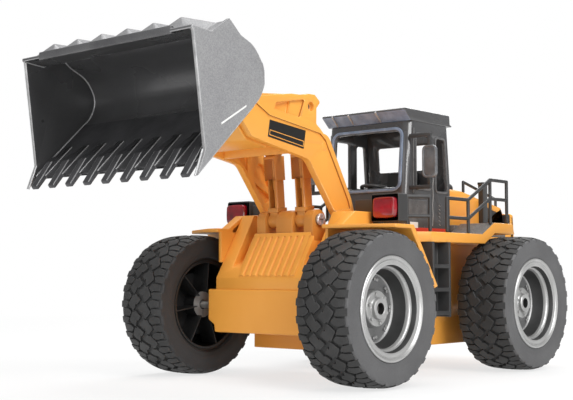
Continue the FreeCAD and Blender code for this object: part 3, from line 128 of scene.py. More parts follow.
def paleFloor():  # white paper: plain white further out, with the toy's shadow close by
    bpy.ops.mesh.primitive_plane_add(size=paper["size"], location=(0, 0, 0))
    floor = bpy.context.object
    floor.name = "studioFloor"
    white = bpy.data.materials.new("whitePaper")
    white.use_nodes = True
    tree = white.node_tree
    base = tree.nodes["Principled BSDF"]
    base.inputs["Base Color"].default_value = paper["colour"]
    base.inputs["Roughness"].default_value = paper["rough"]
    glow = addNode(tree, "Emission", {"Strength": 1.0})
    rays = addNode(tree, "LightPath")
    seen = addNode(tree, "Math", {0: rays.outputs["Is Camera Ray"], 1: rays.outputs["Is Glossy Ray"]},
                   operation="MAXIMUM")
    place = addNode(tree, "TexCoord")
    away = addNode(tree, "VectorMath", {0: place.outputs["Object"]}, operation="LENGTH")
    fade = addNode(tree, "MapRange", {"Value": away.outputs["Value"], "From Min": paper["near"],
                                      "From Max": paper["far"], "To Min": paper["share"], "To Max": 1.0})
    share = addNode(tree, "Math", {0: seen.outputs[0], 1: fade.outputs[0]}, operation="MULTIPLY")
    mixer = addNode(tree, "MixShader", {0: share.outputs[0], 1: base.outputs[0], 2: glow.outputs[0]})
    tree.links.new(mixer.outputs[0], tree.nodes["Material Output"].inputs["Surface"])
    floor.data.materials.append(white)


placeCamera()
placeLights()
whiteRoom()
paleFloor()
bpy.context.scene.view_settings.view_transform = "Standard"
print("camera and light set")


# shared shader effects
grainLook = {  # noise detail, and the noise levels that are stretched to the full range
    "fine": 2, "slow": 4, "tone": {"From Min": 0.3, "From Max": 0.7},
    "speck": {"From Min": 0.35, "From Max": 0.65}}
wearLook = {  # "line" goes from unworn to worn, "gaps" breaks it up
    "samples": 6, "line": {"From Min": 0.99, "From Max": 0.86},
    "gaps": {"From Min": 0.35, "From Max": 0.6, "To Min": 0.35}}


def newGroup(name, inputs, outputs):  # empty node group with named sockets
    group = bpy.data.node_groups.new(name, "ShaderNodeTree")
    for label, kind, value in inputs:
        socket = group.interface.new_socket(label, in_out="INPUT", socket_type=kind)
        socket.default_value = value
    for label, kind in outputs:
        group.interface.new_socket(label, in_out="OUTPUT", socket_type=kind)
    start = group.nodes.new("NodeGroupInput")
    end = group.nodes.new("NodeGroupOutput")
    return group, start, end


def makeGrain():  # fine surface grain and a slow change of tone
    group, start, end = newGroup("surfaceGrain", [
        ("Grain", "NodeSocketFloat", 2500.0), ("Patch", "NodeSocketFloat", 60.0)],
        [("Height", "NodeSocketFloat"), ("Tone", "NodeSocketFloat"), ("Speck", "NodeSocketFloat")])
    place = addNode(group, "TexCoord").outputs["Object"]
    fine = addNode(group, "TexNoise", {"Vector": place, "Scale": start.outputs["Grain"],
                                       "Detail": grainLook["fine"]})
    slow = addNode(group, "TexNoise", {"Vector": place, "Scale": start.outputs["Patch"],
                                       "Detail": grainLook["slow"]})
    tone = addNode(group, "MapRange", {"Value": slow.outputs[0], **grainLook["tone"]})
    speck = addNode(group, "MapRange", {"Value": fine.outputs[0], **grainLook["speck"]})
    group.links.new(fine.outputs[0], end.inputs["Height"])
    group.links.new(tone.outputs[0], end.inputs["Tone"])
    group.links.new(speck.outputs[0], end.inputs["Speck"])
    return group


def makeEdgeWear():  # a broken line of rubbed colour along edges
    group, start, end = newGroup("edgeWear", [
        ("Radius", "NodeSocketFloat", 0.0004), ("Amount", "NodeSocketFloat", 0.5),
        ("Break", "NodeSocketFloat", 300.0)], [("Mask", "NodeSocketFloat")])
    soft = addNode(group, "Bevel", {"Radius": start.outputs["Radius"]}, samples=wearLook["samples"])
    flat = addNode(group, "NewGeometry")
    facing = addNode(group, "VectorMath", {0: soft.outputs[0], 1: flat.outputs["Normal"]},
                     operation="DOT_PRODUCT")
    line = addNode(group, "MapRange", {"Value": facing.outputs["Value"], **wearLook["line"]})
    place = addNode(group, "TexCoord")
    noise = addNode(group, "TexNoise", {"Vector": place.outputs["Object"], "Scale": start.outputs["Break"]})
    gaps = addNode(group, "MapRange", {"Value": noise.outputs[0], **wearLook["gaps"]})
    both = addNode(group, "Math", {0: line.outputs[0], 1: gaps.outputs[0]}, operation="MULTIPLY")
    scaled = addNode(group, "Math", {0: both.outputs[0], 1: start.outputs["Amount"]}, operation="MULTIPLY")
    group.links.new(scaled.outputs[0], end.inputs["Mask"])
    return group


grainGroup = makeGrain()
wearGroup = makeEdgeWear()


def colour(red, green, blue):  # screen values 0-255 to the linear values that Blender keeps
    def linear(v):
        v /= 255
        return v / 12.92 if v <= 0.04045 else ((v + 0.055) / 1.055) ** 2.4
    return (linear(red), linear(green), linear(blue), 1)


# grain and patch are noise scales, wear is (radius in metres, amount)
plainFinish = {"metal": 0.0, "grain": 2500, "depth": 0.08, "patch": 60, "wear": (0.0003, 0.3), "speck": 0.1}


def finish(base, shade, worn, rough, **rest):  # screen colours, roughness, and what differs from plainFinish
    return {**plainFinish, "base": base, "shade": shade, "worn": worn, "rough": rough, **rest}


finishes = {
    "yellowShell": finish((250, 176, 76), (243, 166, 66), (255, 208, 128), (0.36, 0.46), grain=2600,
        depth=0.05, patch=28, wear=(0.0004, 0.55), speck=0.0),
    "yellowCastArm": finish((250, 176, 76), (243, 167, 67), (255, 214, 140), (0.34, 0.46), grain=2000,
        depth=0.07, patch=22, wear=(0.0005, 0.7), speck=0.0),
    "blackCabPlastic": finish((80, 80, 81), (66, 66, 68), (150, 150, 150), (0.22, 0.32), grain=3000,
        depth=0.05, patch=45, wear=(0.0004, 0.55)),
    # painted shade: the darker yellow on the step faces of the arms' groove
    "yellowGroove": finish((190, 124, 48), (170, 108, 40), (214, 150, 74), (0.5, 0.6), grain=2200,
        depth=0.06, patch=30, wear=(0.0003, 0.2), speck=0.0),
    # painted highlight: light bluish grey on the black roof front and windscreen lip
    "roofFront": finish((150, 166, 190), (108, 121, 142), (216, 217, 220), (0.2, 0.3), grain=2400,
        patch=150, wear=(0.0004, 0.6)),
    "mirrorGrey": finish((118, 120, 123), (92, 94, 97), (190, 192, 196), (0.22, 0.34), grain=2400,
        depth=0.06, patch=150, wear=(0.0004, 0.6)),
    "chromeHead": finish((228, 228, 230), (190, 190, 194), (250, 250, 250), (0.12, 0.22), metal=0.55,
        depth=0.04, patch=400, wear=(0.0003, 0.4)),
    # darker yellow: partly the cylinders' own ochre tone, partly painted shade
    "yellowCylinder": finish((222, 150, 66), (208, 138, 56), (248, 190, 110), (0.38, 0.5), grain=2200,
        depth=0.06, patch=30, wear=(0.0004, 0.5), speck=0.0),
    "blackTrim": finish((62, 62, 62), (50, 50, 51), (120, 120, 120), (0.42, 0.55), grain=2400, patch=40,
        wear=(0.0004, 0.5)),
    "speckledPlinth": finish((120, 112, 106), (96, 92, 88), (170, 165, 160), (0.6, 0.75), grain=1300,
        depth=0.35, patch=50, wear=(0.0004, 0.3), speck=0.55),
    "darkWheelBack": finish((28, 28, 28), (20, 20, 21), (62, 62, 62), (0.42, 0.55), grain=1800, depth=0.1,
        wear=(0.0004, 0.5)),
    "treadRubber": finish((56, 56, 56), (44, 44, 44), (80, 80, 80), (0.62, 0.8), grain=1500, depth=0.3,
        patch=70, wear=(0.0004, 0.6), speck=0.15),
    "sidewallRubber": finish((98, 98, 99), (86, 86, 87), (116, 116, 116), (0.5, 0.64), grain=1700,
        depth=0.16, patch=40, speck=0.12),
    # silver of the rims; on the cab's slits, seam and roof ribs it is a painted highlight
    "rimSilver": finish((196, 196, 195), (176, 176, 175), (235, 235, 235), (0.32, 0.44), metal=0.6,
        grain=2600, depth=0.04, patch=70, wear=(0.0004, 0.6)),
    # painted shade: the deep barrel of the rim
    "rimBarrel": finish((80, 80, 80), (62, 62, 62), (140, 140, 140), (0.36, 0.48), metal=0.6, grain=2600,
        depth=0.04, patch=70),
    "rimDisc": finish((150, 150, 150), (128, 128, 128), (205, 205, 205), (0.34, 0.46), metal=0.6,
        grain=1800, wear=(0.0003, 0.4), speck=0.16),
    # painted shade: the tyres' inner sidewalls
    "innerWallRubber": finish((48, 48, 49), (40, 40, 41), (62, 62, 62), (0.6, 0.74), grain=1700,
        depth=0.16, patch=40, speck=0.12),
    # grey of the cast outside; on the inside seams it is a painted highlight
    "bucketCast": finish((168, 168, 169), (150, 150, 152), (226, 226, 226), (0.42, 0.56), metal=0.35,
        grain=1900, depth=0.3, patch=34, wear=(0.0007, 1.0), speck=0.28),
    # painted shade: the bucket's upper ridges
    "bucketRidge": finish((148, 148, 149), (126, 126, 128), (222, 222, 222), (0.42, 0.56), metal=0.35,
        grain=1900, depth=0.3, wear=(0.0006, 1.0), speck=0.4),
    "bucketLip": finish((106, 106, 107), (84, 84, 86), (200, 200, 200), (0.4, 0.52), metal=0.3,
        grain=1900, depth=0.2, patch=80, wear=(0.0004, 0.8), speck=0.3),
    "bucketEdge": finish((192, 192, 192), (150, 150, 151), (240, 240, 240), (0.34, 0.46), metal=0.3,
        grain=1900, depth=0.1, patch=200, wear=(0.0003, 0.4), speck=0.2),
    "bucketFloor": finish((62, 62, 64), (50, 50, 52), (84, 84, 84), (0.34, 0.46), metal=0.25, grain=2000,
        depth=0.1, speck=0.12),
    "bucketTooth": finish((78, 78, 80), (58, 58, 60), (225, 225, 225), (0.32, 0.44), metal=0.3,
        grain=1900, depth=0.15, patch=90, wear=(0.00045, 1.0), speck=0.2),
    "bucketInside": finish((96, 96, 97), (80, 80, 81), (170, 170, 170), (0.24, 0.33), metal=0.4,
        grain=2000, depth=0.1, patch=22, wear=(0.0006, 1.0), speck=0.12),
    "pinSteel": finish((150, 148, 144), (126, 124, 120), (220, 220, 220), (0.32, 0.46), metal=0.9,
        grain=2200, patch=120, wear=(0.0003, 0.4)),
    "redLens": finish((172, 14, 34), (104, 5, 18), (214, 70, 78), (0.06, 0.12), grain=900, depth=0.02,
        patch=130, wear=(0.0005, 0.3), speck=0.0),
    # grey of the lower door panels; on the window frames and door edge it is a painted highlight
    "cabPanel": finish((112, 112, 113), (84, 84, 85), (170, 170, 170), (0.26, 0.4), grain=2400, depth=0.1,
        patch=260, wear=(0.0003, 0.5), speck=0.3),
    "redStripe": finish((214, 62, 40), (200, 52, 32), (235, 120, 100), (0.35, 0.45), depth=0.04,
        speck=0.0),
    # plain white of the bare sticker; on the bucket's side strips it is a painted highlight
    "plainSticker": finish((238, 238, 236), (228, 228, 226), (250, 250, 250), (0.35, 0.45), depth=0.03,
        wear=(0.0002, 0.2), speck=0.0),
    "darkPlate": finish((30, 29, 27), (22, 21, 20), (80, 74, 60), (0.3, 0.4), depth=0.03, patch=80,
        wear=(0.0002, 0.3), speck=0.0),
    "paleBearing": finish((214, 210, 200), (200, 196, 184), (236, 234, 228), (0.42, 0.55), grain=2000,
        depth=0.06, patch=90),
    "greenBoard": finish((24, 96, 52), (18, 80, 42), (90, 150, 110), (0.3, 0.42), grain=1600, patch=260,
        speck=0.3),
    "cellWrap": finish((42, 70, 128), (34, 58, 110), (130, 150, 190), (0.25, 0.36), grain=1800,
        depth=0.04, patch=90, speck=0.05),
}

bumpDistance = 0.0003  # metres, the deepest that the grain goes
dotShare = (0.5, 0.4)  # how far specks darken and lighten a tone
coats = {"redLens": 1.0, "blackCabPlastic": 0.7, "cabPanel": 0.4}  # clear gloss on top


def makeFinish(name):
    look = finishes[name]
    paint = bpy.data.materials.new(name)
    paint.use_nodes = True
    tree = paint.node_tree
    shader = tree.nodes["Principled BSDF"]
    shader.inputs["Metallic"].default_value = look["metal"]
    shader.inputs["Coat Weight"].default_value = coats.get(name, 0)
    radius, amount = look["wear"]
    grain = addNode(tree, "Group", {"Grain": look["grain"], "Patch": look["patch"]}, node_tree=grainGroup)
    wear = addNode(tree, "Group", {"Radius": radius, "Amount": amount}, node_tree=wearGroup)
    tone = addNode(tree, "Mix", {"Factor": grain.outputs["Tone"], "A": colour(*look["shade"]),
                                 "B": colour(*look["base"])}, data_type="RGBA")
    last = tone.outputs["Result"]
    if look["speck"] > 0:
        darker, lighter = [look["speck"] * share for share in dotShare]
        dots = addNode(tree, "MapRange", {"Value": grain.outputs["Speck"], "To Min": 1 - darker,
                                          "To Max": 1 + lighter})
        dotted = addNode(tree, "VectorMath", {0: last, "Scale": dots.outputs[0]}, operation="SCALE")
        last = dotted.outputs["Vector"]
    rubbed = addNode(tree, "Mix", {"Factor": wear.outputs["Mask"], "A": last, "B": colour(*look["worn"])},
                     data_type="RGBA")
    tree.links.new(rubbed.outputs["Result"], shader.inputs["Base Color"])
    gloss = addNode(tree, "MapRange", {"Value": grain.outputs["Tone"], "To Min": look["rough"][1],
                                       "To Max": look["rough"][0]})
    tree.links.new(gloss.outputs[0], shader.inputs["Roughness"])
    bump = addNode(tree, "Bump", {"Strength": look["depth"], "Distance": bumpDistance,
                                  "Height": grain.outputs["Height"]})
    tree.links.new(bump.outputs[0], shader.inputs["Normal"])
    return paint


paints = {name: makeFinish(name) for name in finishes}
print("finishes made", len(paints))


# modelling helpers, all sizes in millimetres
def leaveEdit():
    if bpy.context.mode != "OBJECT":
        bpy.ops.object.mode_set(mode="OBJECT")


def pick(*pieces):
    leaveEdit()
    bpy.ops.object.select_all(action="DESELECT")
    for piece in pieces:
        piece.select_set(True)
    bpy.context.view_layer.objects.active = pieces[0]


def openEdit():  # into edit mode with all selected
    bpy.ops.object.mode_set(mode="EDIT")
    bpy.ops.mesh.select_all(action="SELECT")


def closeOutward():  # turns all faces outward and leaves edit mode
    bpy.ops.mesh.select_all(action="SELECT")
    bpy.ops.mesh.normals_make_consistent(inside=False)
    leaveEdit()


def applyPlace():
    bpy.ops.object.transform_apply(location=True, rotation=True, scale=True)


def selectWhere(piece, kind, test):  # in edit mode, picks the "faces" or "edges" that pass the test
    mesh = bmesh.from_edit_mesh(piece.data)
    bpy.ops.mesh.select_all(action="DESELECT")
    for part in getattr(mesh, kind):
        if test(part):
            part.select_set(True)
    bmesh.update_edit_mesh(piece.data)


def paintFaces(piece, paintName, test):
    materials = piece.data.materials
    if paintName not in materials:
        materials.append(paints[paintName])
    index = materials.find(paintName)
    for face in piece.data.polygons:
        if test(face):
            face.material_index = index


softening = {"tight": math.radians(30), "room": 2.1}  # narrowest corner, and face width in bevel widths


def softEdges(piece, width, segments=2, angle=30):  # rounds the edges that have room for it
    reach, limit = width * mm, math.radians(angle)

    def sharp(edge):
        return len(edge.link_faces) == 2 and edge.calc_face_angle() > limit

    def narrow(edge, face):
        return face.calc_area() / edge.calc_length() < softening["room"] * reach

    def pinched(corner):
        tight = corner.calc_angle() < softening["tight"]
        return tight and sharp(corner.edge) and sharp(corner.link_loop_prev.edge)

    def roomy(edge):
        if not sharp(edge) or any(narrow(edge, face) for face in edge.link_faces):
            return False
        return not any(pinched(corner) for vertex in edge.verts for corner in vertex.link_loops)

    pick(piece)
    openEdit()
    bpy.ops.mesh.select_mode(type="EDGE")
    selectWhere(piece, "edges", roomy)
    bpy.ops.mesh.bevel(offset=reach, segments=segments, affect="EDGES", clamp_overlap=False)
    bpy.ops.mesh.select_mode(type="VERT")
    leaveEdit()


def smooth(piece, angle=30):
    pick(piece)
    bpy.ops.object.shade_smooth_by_angle(angle=math.radians(angle))


slotOf = {part["node"]: part["material_slot"] for part in frame["record"]["subparts"]}
bodyOf = {node: body for body, nodes in frame["record"]["behaviour"]["bodies"].items() for node in nodes}


def settle(piece, name, node, paintName, standsFor=False):
    pick(piece)  # the piece rides with a CAD node's body, and may stand for the node
    applyPlace()
    piece.name = name
    if not piece.data.materials:
        piece.data.materials.append(paints[paintName])
    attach(piece, bodyOf[node])
    if standsFor:
        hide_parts(node)


def join(pieces):
    pick(*pieces)
    if len(pieces) > 1:
        bpy.ops.object.join()
    return bpy.context.object


def block(low, high):  # box between two corners in millimetres
    a, b = at(*low), at(*high)
    bpy.ops.mesh.primitive_cube_add(size=1, location=(a + b) / 2)
    piece = bpy.context.object
    piece.scale = [abs(v) for v in (b - a)]
    applyPlace()
    return piece


def plate(points, side, low, high):  # outline grown along one axis: side is "y", "x" or "z"
    def place(point, depth):
        spot = list(point)
        spot.insert("xyz".index(side), depth)
        return at(*spot)

    bpy.ops.mesh.primitive_circle_add(vertices=len(points), fill_type="NGON")
    piece = bpy.context.object
    for vertex, point in zip(piece.data.vertices, points):
        vertex.co = place(point, low)
    piece.location = (0, 0, 0)
    step = place(points[0], high) - place(points[0], low)
    openEdit()
    bpy.ops.mesh.extrude_region_move(TRANSFORM_OT_translate={"value": step})
    closeOutward()
    return piece


def ring(points, side, low, high, width, corner):  # raised frame with round corners, drawn by its outer edge
    piece = plate(points, side, low, high)
    axis = "xyz".index(side)
    openEdit()
    halfDepth = abs(high - low) * mm / 2
    selectWhere(piece, "edges", lambda edge: abs((edge.verts[0].co - edge.verts[1].co)[axis]) > halfDepth)
    bpy.ops.mesh.bevel(offset=corner * mm, segments=5, affect="EDGES")
    selectWhere(piece, "faces", lambda face: abs(face.normal[axis]) > 0.9)
    bpy.ops.mesh.inset(thickness=width * mm, use_individual=True)
    bpy.ops.mesh.bridge_edge_loops()
    closeOutward()
    return piece


def turned(profile, centre, steps=64, side=1):  # closed outline of (radius, offset) turned about a Y axis
    bpy.ops.mesh.primitive_circle_add(vertices=len(profile), fill_type="NOTHING")
    piece = bpy.context.object
    for vertex, point in zip(piece.data.vertices, profile):
        vertex.co = centre + Vector((point[0] * mm, point[1] * side * mm, 0))
    piece.location = (0, 0, 0)
    openEdit()
    bpy.ops.mesh.spin(steps=steps, angle=math.tau, center=centre, axis=(0, 1, 0))
    bpy.ops.mesh.select_all(action="SELECT")
    bpy.ops.mesh.remove_doubles(threshold=1e-6)
    closeOutward()
    return piece


def rod(start, end, radius, sides=20):  # millimetres
    a, b = at(*start), at(*end)
    run = b - a
    bpy.ops.mesh.primitive_cylinder_add(vertices=sides, radius=radius * mm, depth=run.length,
                                        location=(a + b) / 2, rotation=run.to_track_quat("Z", "Y").to_euler())
    piece = bpy.context.object
    applyPlace()
    return piece


def mirroredCopy(piece):  # the same piece on the other side of the middle plane
    pick(piece)
    bpy.ops.object.duplicate()
    twin = bpy.context.object
    twin.scale = (1, -1, 1)
    applyPlace()
    openEdit()
    closeOutward()
    return twin


def carve(piece, cutters):  # cuts the cutters out of the piece and removes them
    pick(piece)
    for cutter in cutters:
        tool = piece.modifiers.new("carve", "BOOLEAN")
        tool.operation = "DIFFERENCE"
        tool.solver = "EXACT"
        tool.object = cutter
        bpy.ops.object.modifier_apply(modifier=tool.name)
    for cutter in cutters:
        bpy.data.objects.remove(cutter)


weld = {"gap": 2e-6, "flat": math.radians(0.4)}  # metres between doubles, and the tilt that counts as flat


def fromSolid(node):  # a merged copy of a CAD node, ready to shape
    piece = bpy.data.objects.new(node + "Skin", frame["nodes"][node].data.copy())
    bpy.context.scene.collection.objects.link(piece)
    piece.data.materials.clear()
    pick(piece)
    openEdit()
    bpy.ops.mesh.remove_doubles(threshold=weld["gap"])
    bpy.ops.mesh.dissolve_limited(angle_limit=weld["flat"])
    leaveEdit()
    return piece


# the rods' heads are drawn in: middle, half width before and after
tubeSizes = {"lift_rod_left": (8.7, 3.9, 3.72), "lift_rod_right": (-8.7, 3.9, 3.72)}


def skinned(node, paintName, width):  # a softened copy that stands for the CAD node
    piece = fromSolid(node)
    if node in tubeSizes:
        middle, old, new = tubeSizes[node]
        for vertex in piece.data.vertices:
            away = vertex.co.y / mm - middle
            if abs(away) > old:
                vertex.co.y = (middle + math.copysign(new, away)) * mm
    softEdges(piece, width)
    smooth(piece)
    name = "".join(word.capitalize() for word in node.split("_")) + "Skin"
    settle(piece, name, node, paintName, standsFor=True)
    return piece


slotPaints = {
    "tyre": "treadRubber", "rim_silver": "rimSilver", "bucket_silver": "bucketCast", "steel": "pinSteel",
    "red_lens": "redLens", "bush_plastic": "paleBearing", "motor_can": "pinSteel", "cell_sleeve": "cellWrap",
    "board_green": "greenBoard", "yellow_body": "yellowShell", "yellow_metal": "yellowCastArm",
    "mirror_black": "blackCabPlastic"}
for node, solid in frame["nodes"].items():
    solid.data.materials.clear()
    solid.data.materials.append(paints[slotPaints.get(slotOf[node], "blackTrim")])
print("solids painted")


# tyres
tyreSizes = {
    "pitches": 27, "steps": 108, "crown": 33.7, "flat": 9.0, "bend": 12.0, "arch": 0.0045, "lean": 0.08,
    "face": 14.0, "smooth": (50, 35),
    "lug": 1.25, "lugEdge": 0.18, "lugRoot": -0.35, "lugStep": 1.1, "lugFlush": (13.2, 14.05),
    "groove": (0.95, 10.2, 2.8), "shoulder": (16, 14.2), "wallFrom": 12.7, "lugWallFrom": 13.5}
tyreWall = [  # radius and offset, from the shoulder down to the bead and back inside
    (31.6, 14.0), (30.0, 13.85), (28.6, 13.98), (26.6, 13.95), (25.2, 13.75), (24.5, 13.4), (24.1, 13.42),
    (23.7, 13.2), (23.25, 12.5), (23.25, 11.4), (25.0, 10.9), (28.6, 11.2), (31.0, 8.6)]
treadBlock = {"low": [(-0.5, 2.2), (1.5, 0.4), (2.1, 0.9), (3.9, -2.3), (5.1, -1.5), (7.4, 0.4)],
              "high": [(-0.5, 3.0), (2.9, 5.5), (3.6, 4.7), (4.6, 5.1), (7.4, 1.2)]}
shoulderLugs = [
    {"low": [(7.9, 1.4), (9.2, -0.7), (13.5, -1.1)], "high": [(7.9, 2.0), (9.6, 2.4), (13.5, 2.2)]},
    {"low": [(6.0, 4.1), (7.6, 2.7), (9.6, 3.0), (12.5, 3.2)],
     "high": [(6.0, 5.0), (7.4, 6.1), (9.2, 6.6), (12.5, 6.0)]}]


def edgeAt(line, s):  # the outline's place round the tyre, at a distance across it
    if s <= line[0][0]:
        return line[0][1]
    for (s0, u0), (s1, u1) in zip(line, line[1:]):
        if s <= s1:
            return u0 + (u1 - u0) * (s - s0) / (s1 - s0)
    return line[-1][1]


def lugPatch(shape, mirrorSide, shift):  # flat lug: X round the tyre, Y across it, Z up
    stops = sorted({p[0] for p in shape["low"]} | {p[0] for p in shape["high"]})
    fine = [stops[0]]
    for a, b in zip(stops, stops[1:]):
        parts = max(1, round((b - a) / tyreSizes["lugStep"]))
        fine += [a + (b - a) * (i + 1) / parts for i in range(parts)]
    bpy.ops.mesh.primitive_grid_add(x_subdivisions=2, y_subdivisions=len(fine) - 1, size=1)
    piece = bpy.context.object
    across = len(piece.data.vertices) // len(fine)
    for index, vertex in enumerate(piece.data.vertices):
        s = fine[index // across]
        share = (index % across) / (across - 1)
        low, high = edgeAt(shape["low"], s), edgeAt(shape["high"], s)
        vertex.co = (low + (high - low) * share + shift, s * mirrorSide, 0)
    openEdit()
    bpy.ops.mesh.extrude_region_move(TRANSFORM_OT_translate={"value": (0, 0, tyreSizes["lug"])})
    bpy.ops.mesh.select_all(action="SELECT")
    bpy.ops.mesh.normals_make_consistent(inside=False)
    selectWhere(piece, "edges", lambda edge: all(v.co.z > 0.5 for v in edge.verts) and any(
        abs(f.normal.z) < 0.5 for f in edge.link_faces))
    bpy.ops.mesh.bevel(offset=tyreSizes["lugEdge"], segments=1, affect="EDGES", clamp_overlap=True)
    leaveEdit()
    return piece


def crownPoint(s, height):  # distance across the tread to radius and offset
    flat, bend, arch = tyreSizes["flat"], tyreSizes["bend"], tyreSizes["arch"]
    side = 1 if s >= 0 else -1
    s = abs(s)
    if s <= flat:
        drop = arch * s * s
        lean = 2 * arch * s
        return tyreSizes["crown"] - drop + height * math.cos(lean), side * (s + height * math.sin(lean))
    first = tyreSizes["lean"]
    lean = first + (s - flat) / bend
    drop = arch * flat * flat + bend * (math.cos(first) - math.cos(lean))
    offset = flat + bend * (math.sin(lean) - math.sin(first)) + height * math.sin(lean)
    return tyreSizes["crown"] - drop + height * math.cos(lean), side * min(offset, tyreSizes["face"])


def makeTread(centre, side):
    pitch = math.tau * tyreSizes["crown"] / tyreSizes["pitches"]
    lugs = []
    for way, shift in ((1, 0.0), (-1, pitch / 2)):
        lugs.append(lugPatch(treadBlock, way, shift))
        for shape in shoulderLugs:
            lugs.append(lugPatch(shape, way, shift))
    tread = join(lugs)
    row = tread.modifiers.new("round", "ARRAY")
    row.count = tyreSizes["pitches"]
    row.use_relative_offset = False
    row.use_constant_offset = True
    row.constant_offset_displace = (pitch, 0, 0)
    bpy.ops.object.modifier_apply(modifier=row.name)
    whole = pitch * tyreSizes["pitches"]
    flushFrom, flushAt = tyreSizes["lugFlush"]
    for vertex in tread.data.vertices:
        turn = math.tau * vertex.co.x / whole
        radius, offset = crownPoint(vertex.co.y, vertex.co.z if vertex.co.z > 0.1 else tyreSizes["lugRoot"])
        if abs(vertex.co.y) > flushFrom:  # the long lugs end flush with the sidewall
            offset = math.copysign(flushAt, offset)
        spot = Vector((radius * math.cos(turn), offset * side, radius * math.sin(turn) * -side))
        vertex.co = centre + spot * mm
    openEdit()
    closeOutward()
    return tread


def makeTyre(centre, side):
    half = []
    rise, runOutFrom, runOut = tyreSizes["groove"]
    steps, reach = tyreSizes["shoulder"]
    for i in range(steps + 1):
        s = reach * i / steps
        half.append(crownPoint(s, rise * max(0, min(1, (s - runOutFrom) / runOut))))  # grooves run out here
    half += tyreWall
    profile = half + [(r, -v) for r, v in reversed(half[1:])]
    carcass = turned(profile, centre, tyreSizes["steps"])
    wallSmooth, lugSmooth = tyreSizes["smooth"]
    smooth(carcass, wallSmooth)
    carcassFaces = len(carcass.data.polygons)
    tread = makeTread(centre, side)
    smooth(tread, lugSmooth)
    carcass.data.materials.append(paints["treadRubber"])
    tread.data.materials.append(paints["treadRubber"])
    tyre = join([carcass, tread])

    walls = set()
    for index, face in enumerate(tyre.data.polygons):
        away = abs(face.center.y - centre.y) / mm
        onWall = index < carcassFaces and away > tyreSizes["wallFrom"]
        if onWall or away > tyreSizes["lugWallFrom"] and abs(face.normal.y) > 0.7:
            walls.add(index)
    middle = abs(centre.y)
    paintFaces(tyre, "sidewallRubber", lambda face: face.index in walls and face.center.y * side > middle)
    # the inner sidewalls are painted darker than the outer ones as painted shade
    paintFaces(tyre, "innerWallRubber", lambda face: face.index in walls and face.center.y * side < middle)
    return tyre


wheelPlaces = {}
for end, axle in (("front", frontAxle), ("rear", rearAxle)):
    for sideName, side in (("left", 1), ("right", -1)):
        low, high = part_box(end + "_tyre_" + sideName)
        wheelPlaces[end, sideName] = (Vector((axle.x, (low.y + high.y) / 2, axle.z)), side)

for (end, sideName), (centre, side) in wheelPlaces.items():
    tyre = makeTyre(centre, side)
    name, node = end + sideName.capitalize(), end + "_tyre_" + sideName
    settle(tyre, name + "Tyre", node, "treadRubber", standsFor=True)
print("tyres made")


# wheel rims
rimSizes = {
    "steps": 96, "smooth": 28, "soft": 0.16, "profile": [
        (2.4, -9.0), (6.5, -9.0), (6.5, -1.6), (15.4, -1.6), (18.6, 6.4), (21.4, 6.4), (21.8, -11.4),
        (23.2, -11.6), (23.2, 12.2), (23.4, 12.9), (23.35, 13.4), (23.0, 13.7), (22.5, 13.7), (22.0, 13.3),
        (21.7, 13.1), (21.45, 12.7), (21.2, 13.0), (20.4, 12.9), (19.7, 12.95), (19.25, 12.8), (19.0, 12.3),
        (18.7, 10.4), (18.5, 9.95), (18.2, 9.9), (17.85, 9.6), (17.6, 9.0), (17.45, 8.0), (16.6, 5.0),
        (15.6, 2.4), (15.3, 1.95), (15.0, 2.15), (14.6, 1.8), (12.0, 1.4), (8.7, 1.5), (8.2, 1.8),
        (8.05, 4.6), (7.75, 5.0), (5.1, 5.1), (4.85, 5.4), (4.75, 6.8), (4.5, 7.15), (3.0, 7.15),
        (2.6, 6.9), (2.4, 6.2)]}
rimZones = {  # darker faces, with painted shade in the deep barrel: offsets from and to, radii from and to
    "rimBarrel": [(10.2, 12.6, 0, 19.2), (2.3, 8.5, 15.2, 17.6)],
    "rimDisc": [(0.5, 2.2, 8.15, 14.9)],
    "darkWheelBack": [(-99, 11, 22.9, 99), (-99, 1, 6.4, 99), (-99, 6.6, 18.4, 99), (-99, 6.6, 0, 2.5)]}
rimBolts = {"count": 9, "pair": (-3.6, 3.6), "start": 22, "ring": 13.1, "height": 1.7, "radius": 0.75,
            "depth": 1.7, "sides": 14}
hubNuts = {"count": 6, "pair": (0,), "start": 17, "ring": 6.5, "height": 5.2, "radius": 0.95, "depth": 1.6,
           "sides": 6}


def screwHeads(look, centre, side):  # heads in a ring about the axle, single or in pairs
    heads = []
    for i in range(look["count"]):
        for lean in look["pair"]:
            turn = math.radians(i * 360 / look["count"] + look["start"] + lean)
            away = look["ring"]
            spot = Vector((math.cos(turn) * away, look["height"] * side, math.sin(turn) * away))
            bpy.ops.mesh.primitive_cylinder_add(
                vertices=look["sides"], radius=look["radius"] * mm, depth=look["depth"] * mm,
                location=centre + spot * mm, rotation=(math.pi / 2, 0, 0))
            heads.append(bpy.context.object)
    return heads


def makeRim(centre, side):
    rim = turned(rimSizes["profile"], centre, rimSizes["steps"], side)
    smooth(rim, rimSizes["smooth"])
    screws = join(screwHeads(rimBolts, centre, side) + screwHeads(hubNuts, centre, side))
    applyPlace()
    softEdges(screws, rimSizes["soft"])
    smooth(screws)
    rim.data.materials.append(paints["rimSilver"])
    screws.data.materials.append(paints["rimSilver"])
    rim = join([rim, screws])

    def within(face, zones):
        deep = (face.center.y - centre.y) * side / mm
        away = math.hypot(face.center.x - centre.x, face.center.z - centre.z) / mm
        return any(near < deep < far and inner < away < outer for near, far, inner, outer in zones)

    for paintName, zones in rimZones.items():
        paintFaces(rim, paintName, lambda face: within(face, zones))
    return rim


wheelBack = {"ribs": 7, "start": 8, "rib": (6.3, 21.0, 0.45), "depth": (-11.6, -1.5), "taper": 0.6,
             "soft": 0.2, "steps": 72, "ring": [(20.8, -11.9), (21.9, -11.9), (21.9, -10.4), (20.8, -10.4)]}


